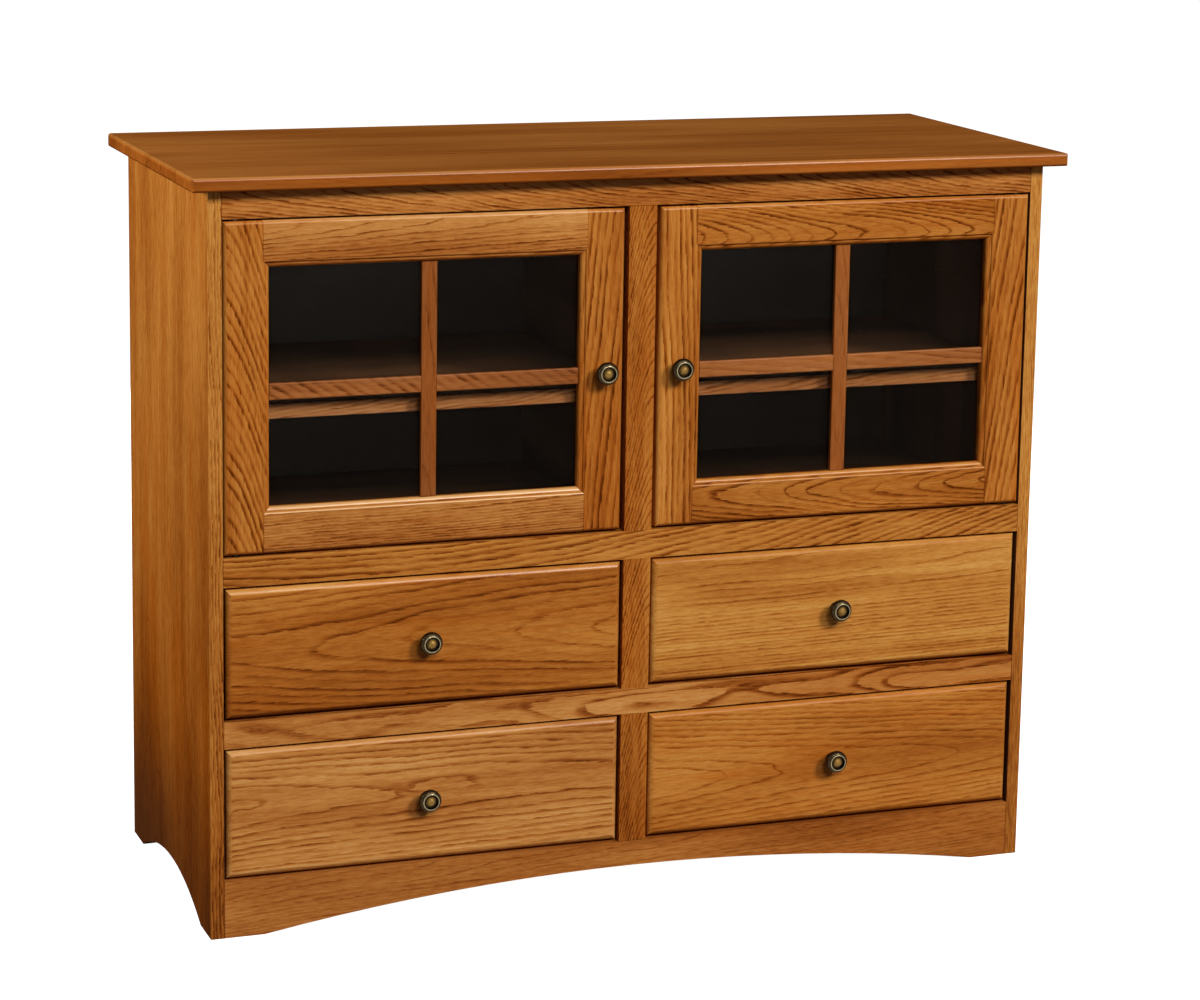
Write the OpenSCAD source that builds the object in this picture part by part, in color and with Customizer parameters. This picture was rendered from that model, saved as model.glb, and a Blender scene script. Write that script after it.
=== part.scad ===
// Oak media cabinet: two glazed doors over four drawers, in millimetres.
// The modules measure x from the outer face of the left side, y back from the
// face of the cabinet and z up from the floor. in_part() then moves the whole
// cabinet so that the middle of its foot print is the origin. What is built for
// the left half is mirrored for the right half.

/* [Carcass] */
// Width over the two side panels
carcass_w = 1220; // [1000:10:1500]
// Depth of the side panels, from the face to the back
carcass_d = 483; // [460:1:600]
// Height of the side panels, from the floor to the top board
carcass_h = 1027; // [980:1:1200]
// Thickness of the sides, dividers, floors, shelves and cleats
board_t = 19; // [16:1:22]
// Thickness of the back panel
back_t = 6; // [4:1:9]

/* [Top board] */
// Thickness of the top board
top_t = 19; // [16:1:30]
// How far the top board passes each side panel
top_side_overhang = 27; // [5:1:50]
// How far the top board passes the face
top_front_overhang = 25; // [5:1:40]
// How far the top board passes the back of the sides
top_back_overhang = 13; // [0:1:30]
// Radius along the upper front and side edges of the top board
top_upper_round = 5; // [1:0.5:8]
// Radius along the lower front and side edges of the top board
top_lower_round = 4; // [1:0.5:6]
// Radius of the four corners of the top board, seen from above
top_corner_round = 5; // [1:1:20]

/* [Face frame] */
// Thickness of the rails, apron and centre stiles of the face
frame_t = 19; // [17:1:25]
// Height of the rail over the doors
top_rail_h = 39; // [30:1:60]
// Height of the rail between the doors and the drawers
middle_rail_h = 40; // [34:1:60]
// Height of the rail between the two rows of drawers
lower_rail_h = 37; // [25:1:60]
// Height of the apron under the drawers
apron_h = 80; // [76:1:120]
// Width of the stiles between the left and the right openings
mullion_w = 40; // [36:1:60]
// Height of each drawer opening
drawer_opening_h = 187; // [170:1:210]
// Radius of the front outer edges of the side panels
side_edge_round = 1.5; // [0.5:0.5:4]

/* [Arches] */
// Width of each front foot, at the floor
front_foot_w = 75; // [50:1:200]
// Rise of the arch in the apron
front_arch_rise = 44; // [20:1:50]
// Width of each side panel's feet, at the floor
side_foot_w = 60.5; // [40:0.5:120]
// Rise of the arch in each side panel
side_arch_rise = 41; // [20:1:50]

/* [Doors] */
// Thickness of the doors
door_t = 19; // [17:1:20]
// Gap over and under each door
door_end_gap = 3; // [2:0.5:5]
// Gap between each door and its side panel
hinge_side_gap = 1.5; // [1.5:0.5:4]
// Gap between each door and the centre stile
knob_side_gap = 6; // [1:0.5:7]
// Width of the stiles and rails of the doors, with their moulding
member_w = 63.5; // [50:0.5:80]
// Width of the moulding along the glass
moulding_w = 9.5; // [7:0.5:12]
// Radius of the moulding's outer edge
moulding_lip_round = 2.5; // [1.5:0.5:3]
// Width of the narrow flat between the moulding's lip and its bead
moulding_quirk_w = 1; // [0.5:0.5:2]
// Radius of the front edges of the doors
door_round = 6; // [3.5:0.5:7]

/* [Glass and muntins] */
// Thickness of the glass
glass_t = 3; // [2:0.5:4]
// Play around the glass in its rabbet
glass_play = 0.75; // [0.25:0.25:2]
// Thickness of the strips that hold the glass in
stop_t = 3.5; // [2:0.5:4]
// Width of the strips that hold the glass in
stop_w = 8; // [5:0.5:9]
// Width of each upright muntin
upright_muntin_w = 22; // [12:0.5:40]
// Height of each cross muntin
cross_muntin_w = 22.5; // [12:0.5:40]
// Depth of the muntins' faces behind the door's face
muntin_depth = 6; // [3:0.5:9]
// How far the upright muntin stands from the glass's middle, towards the knob
muntin_shift = 4; // [0:1:20]
// How far the cross muntin lies under the glass's middle
muntin_drop = 6; // [0:1:20]
// Radius of the front edges of the muntins
muntin_round = 1.5; // [0.5:0.5:2.5]

/* [Door pivots and catches] */
// Distance of each pivot from the door's hinge edge
pivot_inset = 18; // [16:1:19]
// Diameter of the pivot pins
pivot_pin_d = 6; // [4:0.5:7]
// Length of each pin in its socket
pivot_pin_l = 9; // [6:0.5:14]
// Diameter of the collar between a pivot's plate and its socket
pivot_collar_d = 9; // [7.5:0.5:12]
// Length of the plate let into the end of the stile
pivot_plate_l = 32; // [20:1:32]
// Width of that plate
pivot_plate_w = 10; // [9.5:0.5:12]
// Thickness of that plate
pivot_plate_t = 2.5; // [1.5:0.5:4]
// Outer diameter of the pivot sockets in the rails
socket_d = 10; // [9:0.5:12]
// Width of each door catch and its strike plate
catch_w = 40; // [25:1:50]
// Depth of each door catch behind the rail
catch_d = 12; // [8:1:20]
// Height of each door catch over and under the edge of the rail
catch_h = 13; // [10:1:18]
// Thickness of the strike plate let into each door
strike_t = 1; // [0.5:0.5:2]

/* [Interior] */
// Height of the underside of each shelf over the floor
shelf_z = 712; // [620:1:860]
// Gap between each shelf and the walls
shelf_gap = 1; // [0.5:0.5:3]
// Clearance between a swinging door and the shelf's front edge
shelf_clearance = 2; // [1:0.5:20]
// Gap between each shelf and the back panel
shelf_back_gap = 2; // [0.5:0.5:10]
// Diameter of the pins under the shelves
shelf_pin_d = 5; // [4:0.5:7]
// Length of each shelf pin in the wall, and again out of it
shelf_pin_l = 8; // [5:0.5:9]
// Distance of the shelf pins from the shelf's front and back edges
shelf_pin_inset = 50; // [20:1:120]
// Diameter of the cable hole in the back of each compartment
cable_hole_d = 50; // [30:1:80]
// Height of the cable holes over the compartment's floor
cable_hole_rise = 142; // [50:1:150]

/* [Drawers] */
// Gap around each drawer front
drawer_gap = 3.5; // [1.5:0.5:5]
// Thickness of the drawer fronts
drawer_front_t = 19; // [16:1:25]
// Radius of the front edges of the drawer fronts
drawer_round = 9; // [3:0.5:10]
// Thickness of the sides, inner front and back of a drawer box
box_t = 12; // [10:1:16]
// Height of a drawer box
box_h = 140; // [110:1:150]
// Length of a drawer box, from the front's back to the rear
box_l = 406; // [300:1:410]
// Height of a drawer box over the edge of its opening
box_rise = 12; // [4:1:20]
// Thickness of a drawer's bottom
drawer_bottom_t = 6; // [4:1:9]
// Height of a drawer's bottom over the lower edge of its box
drawer_bottom_rise = 10; // [6:1:20]
// Depth of the groove that holds a drawer's bottom
groove_depth = 6; // [3:0.5:7]

/* [Drawer slides] */
// Space between a drawer box and the wall beside it
slide_gap = 12.7; // [12:0.1:14]
// Height of a slide
slide_h = 45; // [35:1:50]
// Length of a slide
slide_l = 400; // [250:10:400]
// Thickness of the slides' sheet steel
slide_gauge = 1.2; // [0.8:0.1:1.5]
// Height of the lips that hold the inner member in the outer one
slide_lip = 6; // [4:0.5:8]
// Height of a slide over the lower edge of its drawer box
slide_rise = 40; // [20:1:60]
// Play between the members of a slide
slide_play = 0.3; // [0.2:0.05:0.5]

/* [Knobs] */
// Diameter of the knobs
knob_d = 32; // [26:1:40]
// Projection of the knobs from the wood
knob_l = 27; // [24:1:34]
// Diameter of a knob's foot
knob_foot_d = 18; // [14:1:22]
// Diameter of a knob's neck
knob_neck_d = 12; // [8:1:13]
// Diameter of the button in the middle of a knob
knob_button_d = 12.6; // [8:0.2:16]
// Distance of a door's knob from its knob edge
knob_inset = 29.5; // [24:0.5:36]
// Diameter of a knob's screw
knob_screw_d = 4; // [3:0.5:5]

/* [Screws] */
// Diameter of the screws in the top board and the back panel
screw_d = 4; // [3:0.5:5]
// Diameter of the screws' heads
screw_head_d = 8; // [6:0.5:9]
// Height of the screws' heads
screw_head_h = 2.2; // [1.5:0.1:3]
// Length of each screw in the piece that it bites
screw_bite = 13; // [8:1:14]

/* [Hidden] */
$fn = 48;
arch_fn = 256;

oak = [0.72, 0.45, 0.19];
oak_end = [0.62, 0.37, 0.15];
plywood = [0.80, 0.66, 0.46];
antique_brass = [0.40, 0.33, 0.20];
zinc = [0.72, 0.73, 0.74];
clear = [0.55, 0.65, 0.62, 0.35];
dark_plastic = [0.22, 0.16, 0.11];

// Cutting overshoot, running clearances, the fit of round fittings in wood and a glued joint
cut = 1;
face_play = 0.3;
pin_play = 0.05;
seat_play = 0.05;
glue_gap = 0.1;

// The part's frame: the knobs reach furthest forward, the top board furthest back
front_y = -max(knob_l, top_front_overhang);
back_y = carcass_d + top_back_overhang;
center_y = (front_y + back_y) / 2;

// Heights of the openings and boards
floor_z = apron_h - board_t;
lower_opening_z = apron_h;
lower_rail_z = lower_opening_z + drawer_opening_h;
upper_opening_z = lower_rail_z + lower_rail_h;
middle_rail_z = upper_opening_z + drawer_opening_h;
door_opening_z = middle_rail_z + middle_rail_h;
top_rail_z = carcass_h - top_rail_h;
door_opening_h = top_rail_z - door_opening_z;
compartment_floor_z = door_opening_z - board_t;

// Widths and depths inside
opening_w = (carcass_w - 2 * board_t - mullion_w) / 2;
mullion_x = board_t + opening_w;
divider_x = (carcass_w - board_t) / 2;
inner_back_y = carcass_d - back_t;
rabbet_w = board_t / 2;

// The left door: lower hinge-side corner, size and pivot
door_x = board_t + hinge_side_gap;
door_z = door_opening_z + door_end_gap;
door_w = opening_w - hinge_side_gap - knob_side_gap;
door_h = door_opening_h - 2 * door_end_gap;
flat_w = member_w - moulding_w;
bead_r = moulding_w - moulding_lip_round - moulding_quirk_w;
bead_y = moulding_lip_round + bead_r;
glass_y = door_t - stop_t - glass_t;
pivot_y = door_t / 2;
pivot_swing_r = norm([pivot_inset, pivot_y]);
socket_l = pivot_pin_l + 2;
knob_stile_middle = door_w - member_w / 2;
muntin_t = glass_y - muntin_depth;
upright_x = (door_w - upright_muntin_w) / 2 + muntin_shift;
cross_z = (door_h - cross_muntin_w) / 2 - muntin_drop;

// Shelves and their pins
shelf_y = pivot_y + pivot_swing_r + shelf_clearance;
shelf_back_y = inner_back_y - shelf_back_gap;
shelf_pin_ys = [shelf_y + shelf_pin_inset, shelf_back_y - shelf_pin_inset];

// Drawers: the left column's box and slides
drawer_w = opening_w - 2 * drawer_gap;
drawer_h = drawer_opening_h - 2 * drawer_gap;
box_x = board_t + slide_gap;
box_w = opening_w - 2 * slide_gap;
slide_y = max(frame_t, drawer_front_t) + 2;
spacer_t = divider_x - mullion_x;
drawer_zs = [lower_opening_z, upper_opening_z];

// Knobs: the head's rounded rim, the ring on its face and the hole for the screw
knob_rim_r = 6;
knob_rim_z = knob_l - 8.5;
knob_ring_r = 1.3;
knob_ring_place = knob_d / 2 - 5.2;
knob_recess = 2.2;
knob_dome_r = 8;
knob_foot_t = 2.4;
knob_bore_depth = 12;
knob_screw_head_d = 2 * knob_screw_d;
knob_screw_head_h = 2.4;
knob_hole_d = knob_screw_d + 0.6;

// Cleats and screws under the top board, and the screws of the back panel
cleat_ys = [frame_t + 6, inner_back_y - 22];
cleat_xs = [board_t, divider_x - board_t];
top_screw_ys = [for (i = [0:2]) cleat_ys[0] + 40 + i * (cleat_ys[1] - cleat_ys[0] - 80) / 2];
pilot_d = screw_d + 2 * seat_play;
back_screw_z_step = (carcass_h - floor_z - 2 * 45) / 4;
back_screw_zs = [for (i = [0:4]) floor_z + 45 + i * back_screw_z_step];

// Placing

module in_part() {
    translate([-carcass_w / 2, -center_y, 0]) children();
}

// Mirrors what is built for the left half into the right half
module on_right() {
    translate([carcass_w, 0, 0]) mirror([1, 0, 0]) children();
}

module on_both_sides() {
    children();
    on_right() children();
}

// Extrudes a section drawn in x and y up along z
module along_z(length) {
    linear_extrude(length) children();
}

// Extrudes a section drawn in y and z along x
module along_x(length) {
    rotate([90, 0, 90]) linear_extrude(length) children();
}

// Extrudes an outline drawn in x and z back along y
module along_y(length) {
    translate([0, length, 0]) rotate([90, 0, 0]) linear_extrude(length) children();
}

// Turns what points up so that it points out of the face
module facing_front() {
    rotate([90, 0, 0]) children();
}

// Shared shapes

// Rectangle with its own radius at each corner: [left, right] at the bottom and at the top
module rounded_rectangle(w, h, bottom = [0, 0], top = [0, 0]) {
    difference() {
        square([w, h]);
        corner_cut(bottom[0]);
        translate([w, 0]) mirror([1, 0]) corner_cut(bottom[1]);
        translate([0, h]) mirror([0, 1]) corner_cut(top[0]);
        translate([w, h]) mirror([1, 0]) mirror([0, 1]) corner_cut(top[1]);
    }
}

// What a round corner takes off a square one at the origin
module corner_cut(r) {
    if (r > 0) difference() {
        translate([-cut, -cut]) square(r + cut);
        translate([r, r]) circle(r);
    }
}

// Upright board with its face at y = 0 and the four edges of that face rounded
module faced_board(w, t, h, r) {
    intersection() {
        along_z(h) rounded_rectangle(w, t, bottom = [r, r]);
        along_x(w) rounded_rectangle(t, h, bottom = [r, 0], top = [r, 0]);
    }
}

// Circle of an arch's lower edge, from the width at the floor and the rise
function arch_radius(span, rise) = (pow(span / 2, 2) + pow(rise, 2)) / (2 * rise);

module arch_outline(span, rise) {
    r = arch_radius(span, rise);
    translate([0, rise - r]) circle(r, $fn = arch_fn);
}

// Screw with a flat round head below the origin and its shank upwards
module screw(shank_d, shank_l, head_d, head_h) {
    cylinder(d = shank_d, h = shank_l);
    translate([0, 0, -head_h]) cylinder(d = head_d, h = head_h);
}

// Carcass

module top_panel() {
    w = carcass_w + 2 * top_side_overhang;
    d = carcass_d + top_front_overhang + top_back_overhang;
    color(oak) difference() {
        translate([-top_side_overhang, -top_front_overhang, carcass_h]) intersection() {
            along_y(d) rounded_rectangle(w, top_t,
                bottom = [top_lower_round, top_lower_round],
                top = [top_upper_round, top_upper_round]);
            along_x(w) rounded_rectangle(d, top_t,
                bottom = [top_lower_round, 0], top = [top_upper_round, 0]);
            along_z(top_t) rounded_rectangle(w, d,
                bottom = [top_corner_round, top_corner_round],
                top = [top_corner_round, top_corner_round]);
        }
        top_screw_holes();
    }
}

module side_panel() {
    color(oak) difference() {
        along_z(carcass_h) rounded_rectangle(board_t, carcass_d, bottom = [side_edge_round, 0]);
        side_arch_cut();
        back_rabbet_cut();
        shelf_pin_holes();
        back_screw_holes();
    }
}

module side_arch_cut() {
    span = carcass_d - 2 * side_foot_w;
    translate([-cut, carcass_d / 2, 0]) along_x(board_t + 2 * cut)
        arch_outline(span, side_arch_rise);
}

// Step in the side panel's back edge, above the rear foot, for the back panel
module back_rabbet_cut() {
    translate([board_t - rabbet_w, inner_back_y, floor_z])
        cube([rabbet_w + cut, back_t + cut, carcass_h]);
}

module center_dividers() {
    color(oak) difference() {
        for (z = [[lower_opening_z, compartment_floor_z], [door_opening_z, carcass_h]])
            translate([divider_x, frame_t, z[0]])
                cube([board_t, inner_back_y - frame_t, z[1] - z[0]]);
        on_both_sides() shelf_pin_holes();
        back_screw_holes();
    }
}

// Full-width board behind the face frame
module inner_board(z) {
    translate([board_t, frame_t, z])
        cube([carcass_w - 2 * board_t, inner_back_y - frame_t, board_t]);
}

module compartment_floor() {
    color(oak) inner_board(compartment_floor_z);
}

module cabinet_bottom() {
    color(oak) inner_board(floor_z);
}

module back_panel() {
    color(plywood) difference() {
        translate([board_t - rabbet_w, inner_back_y, floor_z])
            cube([carcass_w - 2 * (board_t - rabbet_w), back_t, carcass_h - floor_z]);
        on_both_sides() cable_hole();
        back_screw_holes();
    }
}

module cable_hole() {
    translate([(board_t + divider_x) / 2, back_y, door_opening_z + cable_hole_rise])
        facing_front() cylinder(d = cable_hole_d, h = back_y - inner_back_y + cut);
}

module top_cleats() {
    color(oak_end) on_both_sides() difference() {
        for (x = cleat_xs)
            translate([x, cleat_ys[0], carcass_h - board_t])
                cube([board_t, cleat_ys[1] - cleat_ys[0], board_t]);
        top_screw_holes();
    }
}

// Places what it is given at each screw of the top board
module at_top_screws() {
    for (x = cleat_xs, y = top_screw_ys)
        translate([x + board_t / 2, y, carcass_h - board_t]) children();
}

module top_screw_holes() {
    on_both_sides() at_top_screws()
        translate([0, 0, -cut]) cylinder(d = pilot_d, h = cut + board_t + screw_bite);
}

// Places what it is given at each screw of the back panel, pointing in
module at_back_screws() {
    for (x = [board_t - rabbet_w / 2, carcass_w / 2, carcass_w - board_t + rabbet_w / 2],
         z = back_screw_zs)
        translate([x, carcass_d, z]) facing_front() children();
}

module back_screw_holes() {
    at_back_screws() translate([0, 0, -cut]) cylinder(d = pilot_d, h = cut + back_t + screw_bite);
}

module cabinet_screws() {
    color(zinc) {
        on_both_sides() at_top_screws()
            screw(screw_d, board_t + screw_bite, screw_head_d, screw_head_h);
        at_back_screws() screw(screw_d, back_t + screw_bite, screw_head_d, screw_head_h);
    }
}

// Face frame

module face_rail(z, h) {
    translate([board_t, 0, z]) cube([carcass_w - 2 * board_t, frame_t, h]);
}

module top_face_rail() {
    color(oak) difference() {
        face_rail(top_rail_z, top_rail_h);
        on_both_sides() upper_socket_place() socket_seat();
    }
}

module middle_face_rail() {
    color(oak) difference() {
        face_rail(middle_rail_z, middle_rail_h);
        on_both_sides() lower_socket_place() socket_seat();
    }
}

module lower_face_rail() {
    color(oak) face_rail(lower_rail_z, lower_rail_h);
}

module front_apron() {
    color(oak) difference() {
        face_rail(0, apron_h);
        translate([carcass_w / 2, -cut, 0]) along_y(frame_t + 2 * cut)
            arch_outline(carcass_w - 2 * front_foot_w, front_arch_rise);
    }
}

module center_face_stiles() {
    color(oak)
    for (z = [[lower_opening_z, drawer_opening_h],
              [upper_opening_z, drawer_opening_h],
              [door_opening_z, door_opening_h]])
        translate([mullion_x, 0, z[0]]) cube([mullion_w, frame_t, z[1]]);
}

// Pivot sockets in the rails, and the catches behind the top rail

module lower_socket_place() {
    translate([door_x + pivot_inset, pivot_y, door_opening_z]) mirror([0, 0, 1]) children();
}

module upper_socket_place() {
    translate([door_x + pivot_inset, pivot_y, top_rail_z]) children();
}

module socket_seat() {
    translate([0, 0, -cut]) cylinder(d = socket_d + 2 * seat_play, h = socket_l + cut);
}

module socket() {
    difference() {
        cylinder(d = socket_d, h = socket_l);
        translate([0, 0, -cut]) cylinder(d = pivot_pin_d + 2 * pin_play, h = socket_l + 2 * cut);
    }
}

module hinge_sockets() {
    color(zinc) on_both_sides() {
        lower_socket_place() socket();
        upper_socket_place() socket();
    }
}

// Magnet in a case on the rail's back, which hangs behind the door's knob stile
module door_catches() {
    case_y = door_t + face_play;
    case_back_y = frame_t + catch_d;
    color(dark_plastic) on_both_sides()
        translate([door_x + knob_stile_middle - catch_w / 2, 0, top_rail_z]) {
            translate([0, frame_t, 0]) cube([catch_w, catch_d, catch_h]);
            translate([0, case_y, -catch_h]) cube([catch_w, case_back_y - case_y, catch_h]);
        }
}

// Shelves

module shelves() {
    color(oak) on_both_sides()
        translate([board_t + shelf_gap, shelf_y, shelf_z])
            cube([divider_x - board_t - 2 * shelf_gap, shelf_back_y - shelf_y, board_t]);
}

// Places what it is given at the left compartment's shelf pins, pointing along +x
module at_shelf_pins() {
    for (x = [board_t, divider_x], y = shelf_pin_ys)
        translate([x - shelf_pin_l, y, shelf_z - shelf_pin_d / 2]) rotate([0, 90, 0]) children();
}

module shelf_pins() {
    color(zinc) on_both_sides() at_shelf_pins() cylinder(d = shelf_pin_d, h = 2 * shelf_pin_l);
}

module shelf_pin_holes() {
    at_shelf_pins() cylinder(d = shelf_pin_d + 2 * seat_play, h = 2 * shelf_pin_l);
}

// Doors, built at their lower hinge-side corner

module in_left_door() {
    translate([door_x, 0, door_z]) children();
}

// Section of a stile: x runs from the outer edge to the glass, y back from the face
module member_section() {
    square([flat_w, door_t]);
    translate([flat_w, moulding_lip_round]) circle(moulding_lip_round);
    translate([flat_w, moulding_lip_round])
        square([moulding_lip_round + moulding_quirk_w, glass_y - moulding_lip_round]);
    translate([flat_w, bead_y]) square([moulding_w, glass_y - bead_y]);
    intersection() {
        translate([member_w - bead_r, bead_y]) circle(bead_r);
        translate([flat_w, 0]) square([moulding_w, bead_y]);
    }
}

// Left stile in front view, with the moulding mitred at both ends
module stile_outline() {
    polygon([
        [0, 0], [flat_w, 0], [flat_w, flat_w], [member_w, member_w],
        [member_w, door_h - member_w], [flat_w, door_h - flat_w], [flat_w, door_h], [0, door_h],
    ]);
}

// Bottom rail in front view, between the stiles
module rail_outline() {
    polygon([
        [flat_w, 0], [door_w - flat_w, 0], [door_w - flat_w, flat_w],
        [door_w - member_w, member_w], [member_w, member_w], [flat_w, flat_w],
    ]);
}

module door_stile() {
    intersection() {
        faced_board(door_w, door_t, door_h, door_round);
        along_z(door_h) member_section();
        along_y(door_t) stile_outline();
    }
}

module door_rail() {
    intersection() {
        faced_board(door_w, door_t, door_h, door_round);
        along_x(door_w) mirror([1, -1]) member_section();
        along_y(door_t) rail_outline();
    }
}

// Turns a piece of the door's lower or hinge side into its opposite
module on_door_top() {
    translate([0, 0, door_h]) mirror([0, 0, 1]) children();
}

module on_knob_side() {
    translate([door_w, 0, 0]) mirror([1, 0, 0]) children();
}

module hinge_stile() {
    color(oak) in_left_door() difference() {
        door_stile();
        pivot_plate();
        on_door_top() pivot_plate();
    }
}

module knob_stile() {
    color(oak) in_left_door() difference() {
        on_knob_side() door_stile();
        strike_plate();
        door_knob_place() knob_hole(door_t);
    }
}

module bottom_rail() {
    color(oak) in_left_door() door_rail();
}

module top_rail() {
    color(oak) in_left_door() on_door_top() door_rail();
}

// Plate with round ends, let into the end of the hinge stile
module pivot_plate() {
    straight = pivot_plate_l - pivot_plate_w;
    translate([pivot_inset, pivot_y, 0]) linear_extrude(pivot_plate_t) {
        square([straight, pivot_plate_w], center = true);
        for (x = [-1, 1]) translate([x * straight / 2, 0]) circle(d = pivot_plate_w);
    }
}

// Plate, collar and pin in one piece; the collar carries the door on the socket
module pivot() {
    pivot_plate();
    translate([pivot_inset, pivot_y, 0]) mirror([0, 0, 1]) {
        cylinder(d = pivot_collar_d, h = door_end_gap - face_play);
        cylinder(d = pivot_pin_d, h = door_end_gap + pivot_pin_l);
    }
}

module strike_plate() {
    translate([knob_stile_middle - catch_w / 2, door_t - strike_t, door_h - catch_h])
        cube([catch_w, strike_t, catch_h - door_end_gap]);
}

module door_fittings() {
    color(zinc) in_left_door() {
        pivot();
        on_door_top() pivot();
        strike_plate();
    }
}

module door_glass() {
    inset = flat_w + glass_play;
    color(clear) in_left_door()
        translate([inset, glass_y, inset]) cube([door_w - 2 * inset, glass_t, door_h - 2 * inset]);
}

// Two long strips over and under the glass, and two between them at its sides
module glass_stops() {
    color(oak) in_left_door() {
        for (z = [flat_w, door_h - flat_w - stop_w])
            translate([flat_w, door_t - stop_t, z]) cube([door_w - 2 * flat_w, stop_t, stop_w]);
        for (x = [flat_w, door_w - flat_w - stop_w])
            translate([x, door_t - stop_t, flat_w + stop_w + glue_gap])
                cube([stop_w, stop_t, door_h - 2 * (flat_w + stop_w + glue_gap)]);
    }
}

module upright_muntin() {
    color(oak) in_left_door() translate([upright_x, muntin_depth, member_w])
        along_z(door_h - 2 * member_w)
            rounded_rectangle(upright_muntin_w, muntin_t, bottom = [muntin_round, muntin_round]);
}

module cross_muntins() {
    right_end = upright_x + upright_muntin_w;
    color(oak) in_left_door()
        for (span = [[member_w, upright_x], [right_end, door_w - member_w]])
            translate([span[0], muntin_depth, cross_z]) along_x(span[1] - span[0])
                rounded_rectangle(muntin_t, cross_muntin_w,
                    bottom = [muntin_round, 0], top = [muntin_round, 0]);
}

module door_knob_place() {
    translate([door_w - knob_inset, 0, door_h / 2]) facing_front() children();
}

module door_knob() {
    in_left_door() door_knob_place() knob_and_screw(door_t);
}

// Knobs, pointing up from the wood at z = 0

// Half section of a knob: foot, curved neck, round rim, ring, recess and domed button
module knob_section() {
    head_r = knob_d / 2;
    neck_r = knob_neck_d / 2;
    foot_r = knob_foot_d / 2;
    face_z = knob_rim_z + knob_rim_r;
    cove_r = foot_r - neck_r;
    difference() {
        union() {
            square([foot_r - knob_foot_t / 2, knob_foot_t]);
            translate([foot_r - knob_foot_t / 2, knob_foot_t / 2]) circle(d = knob_foot_t);
            square([neck_r, knob_rim_z]);
            translate([neck_r, knob_foot_t]) difference() {
                square(cove_r - knob_foot_t / 2);
                translate([cove_r, cove_r]) circle(cove_r);
            }
            translate([0, knob_rim_z - knob_rim_r]) square([head_r - knob_rim_r, 2 * knob_rim_r]);
            intersection() {
                translate([head_r - knob_rim_r, knob_rim_z]) circle(knob_rim_r);
                square([head_r, knob_l]);
            }
            translate([knob_ring_place, face_z]) circle(knob_ring_r);
        }
        translate([0, face_z - knob_recess])
            square([knob_ring_place - knob_ring_r / 2, knob_recess + knob_ring_r + cut]);
        translate([-cut, -cut]) square([knob_screw_d / 2 + seat_play + cut, knob_bore_depth + cut]);
    }
    intersection() {
        translate([0, knob_l - knob_dome_r]) circle(knob_dome_r);
        translate([0, face_z - knob_recess - cut])
            square([knob_button_d / 2, knob_recess + knob_dome_r]);
    }
}

module knob() {
    color(antique_brass) rotate_extrude() intersection() {
        knob_section();
        square([knob_d, knob_l]);
    }
}

// Hole through wood of this thickness, under the knob
module knob_hole(grip) {
    translate([0, 0, -grip - cut]) cylinder(d = knob_hole_d, h = grip + 2 * cut);
}

module knob_and_screw(grip) {
    knob();
    color(zinc) translate([0, 0, -grip])
        screw(knob_screw_d, grip + knob_bore_depth - 1, knob_screw_head_d, knob_screw_head_h);
}

// Drawers, built for the left column over the lower edge of their opening

module drawer_front(z) {
    color(oak) translate([board_t + drawer_gap, 0, z + drawer_gap]) difference() {
        faced_board(drawer_w, drawer_front_t, drawer_h, drawer_round);
        translate([drawer_w / 2, 0, drawer_h / 2]) facing_front() knob_hole(drawer_front_t);
    }
}

// Two long sides with the inner front and the back between them
module drawer_box(z) {
    color(oak_end) difference() {
        translate([box_x, drawer_front_t, z + box_rise]) {
            for (x = [0, box_w - box_t]) translate([x, 0, 0]) cube([box_t, box_l, box_h]);
            for (y = [0, box_l - box_t])
                translate([box_t + glue_gap, y, 0])
                    cube([box_w - 2 * (box_t + glue_gap), box_t, box_h]);
        }
        drawer_bottom_board(z);
        translate([board_t + opening_w / 2, 0, z + drawer_opening_h / 2])
            facing_front() knob_hole(drawer_front_t + box_t);
    }
}

// Bottom with its edges in the grooves of the box
module drawer_bottom_board(z) {
    inset = box_t - groove_depth;
    translate([box_x + inset, drawer_front_t + inset, z + box_rise + drawer_bottom_rise])
        cube([box_w - 2 * inset, box_l - 2 * inset, drawer_bottom_t]);
}

module drawer_bottom(z) {
    color(plywood) drawer_bottom_board(z);
}

module drawer_knob(z) {
    translate([board_t + opening_w / 2, 0, z + drawer_opening_h / 2])
        facing_front() knob_and_screw(drawer_front_t + box_t);
}

// Slides: x runs from the wall to the drawer box, z from the middle of the slide

// Channel on the wall, with lips at its mouth
module outer_member_section() {
    mouth_x = slide_gap - slide_gauge - 1;
    translate([0, -slide_h / 2]) square([slide_gauge, slide_h]);
    for (side = [0, 1]) mirror([0, side]) {
        translate([0, slide_h / 2 - slide_gauge]) square([mouth_x, slide_gauge]);
        translate([mouth_x - slide_gauge, slide_h / 2 - slide_lip]) square([slide_gauge, slide_lip]);
    }
}

// Hat on the drawer box, with its brim behind the channel's lips
module inner_member_section() {
    mouth_x = slide_gap - slide_gauge - 1;
    crown_z = slide_h / 2 - slide_lip - slide_play;
    brim_z = slide_h / 2 - slide_gauge - slide_play;
    brim_x = mouth_x - 2 * slide_gauge - slide_play;
    translate([slide_gap - slide_gauge, -crown_z]) square([slide_gauge, 2 * crown_z]);
    for (side = [0, 1]) mirror([0, side]) {
        translate([brim_x, crown_z - slide_gauge]) square([slide_gap - brim_x, slide_gauge]);
        translate([brim_x, crown_z - slide_gauge])
            square([slide_gauge, brim_z - crown_z + slide_gauge]);
    }
}

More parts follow.
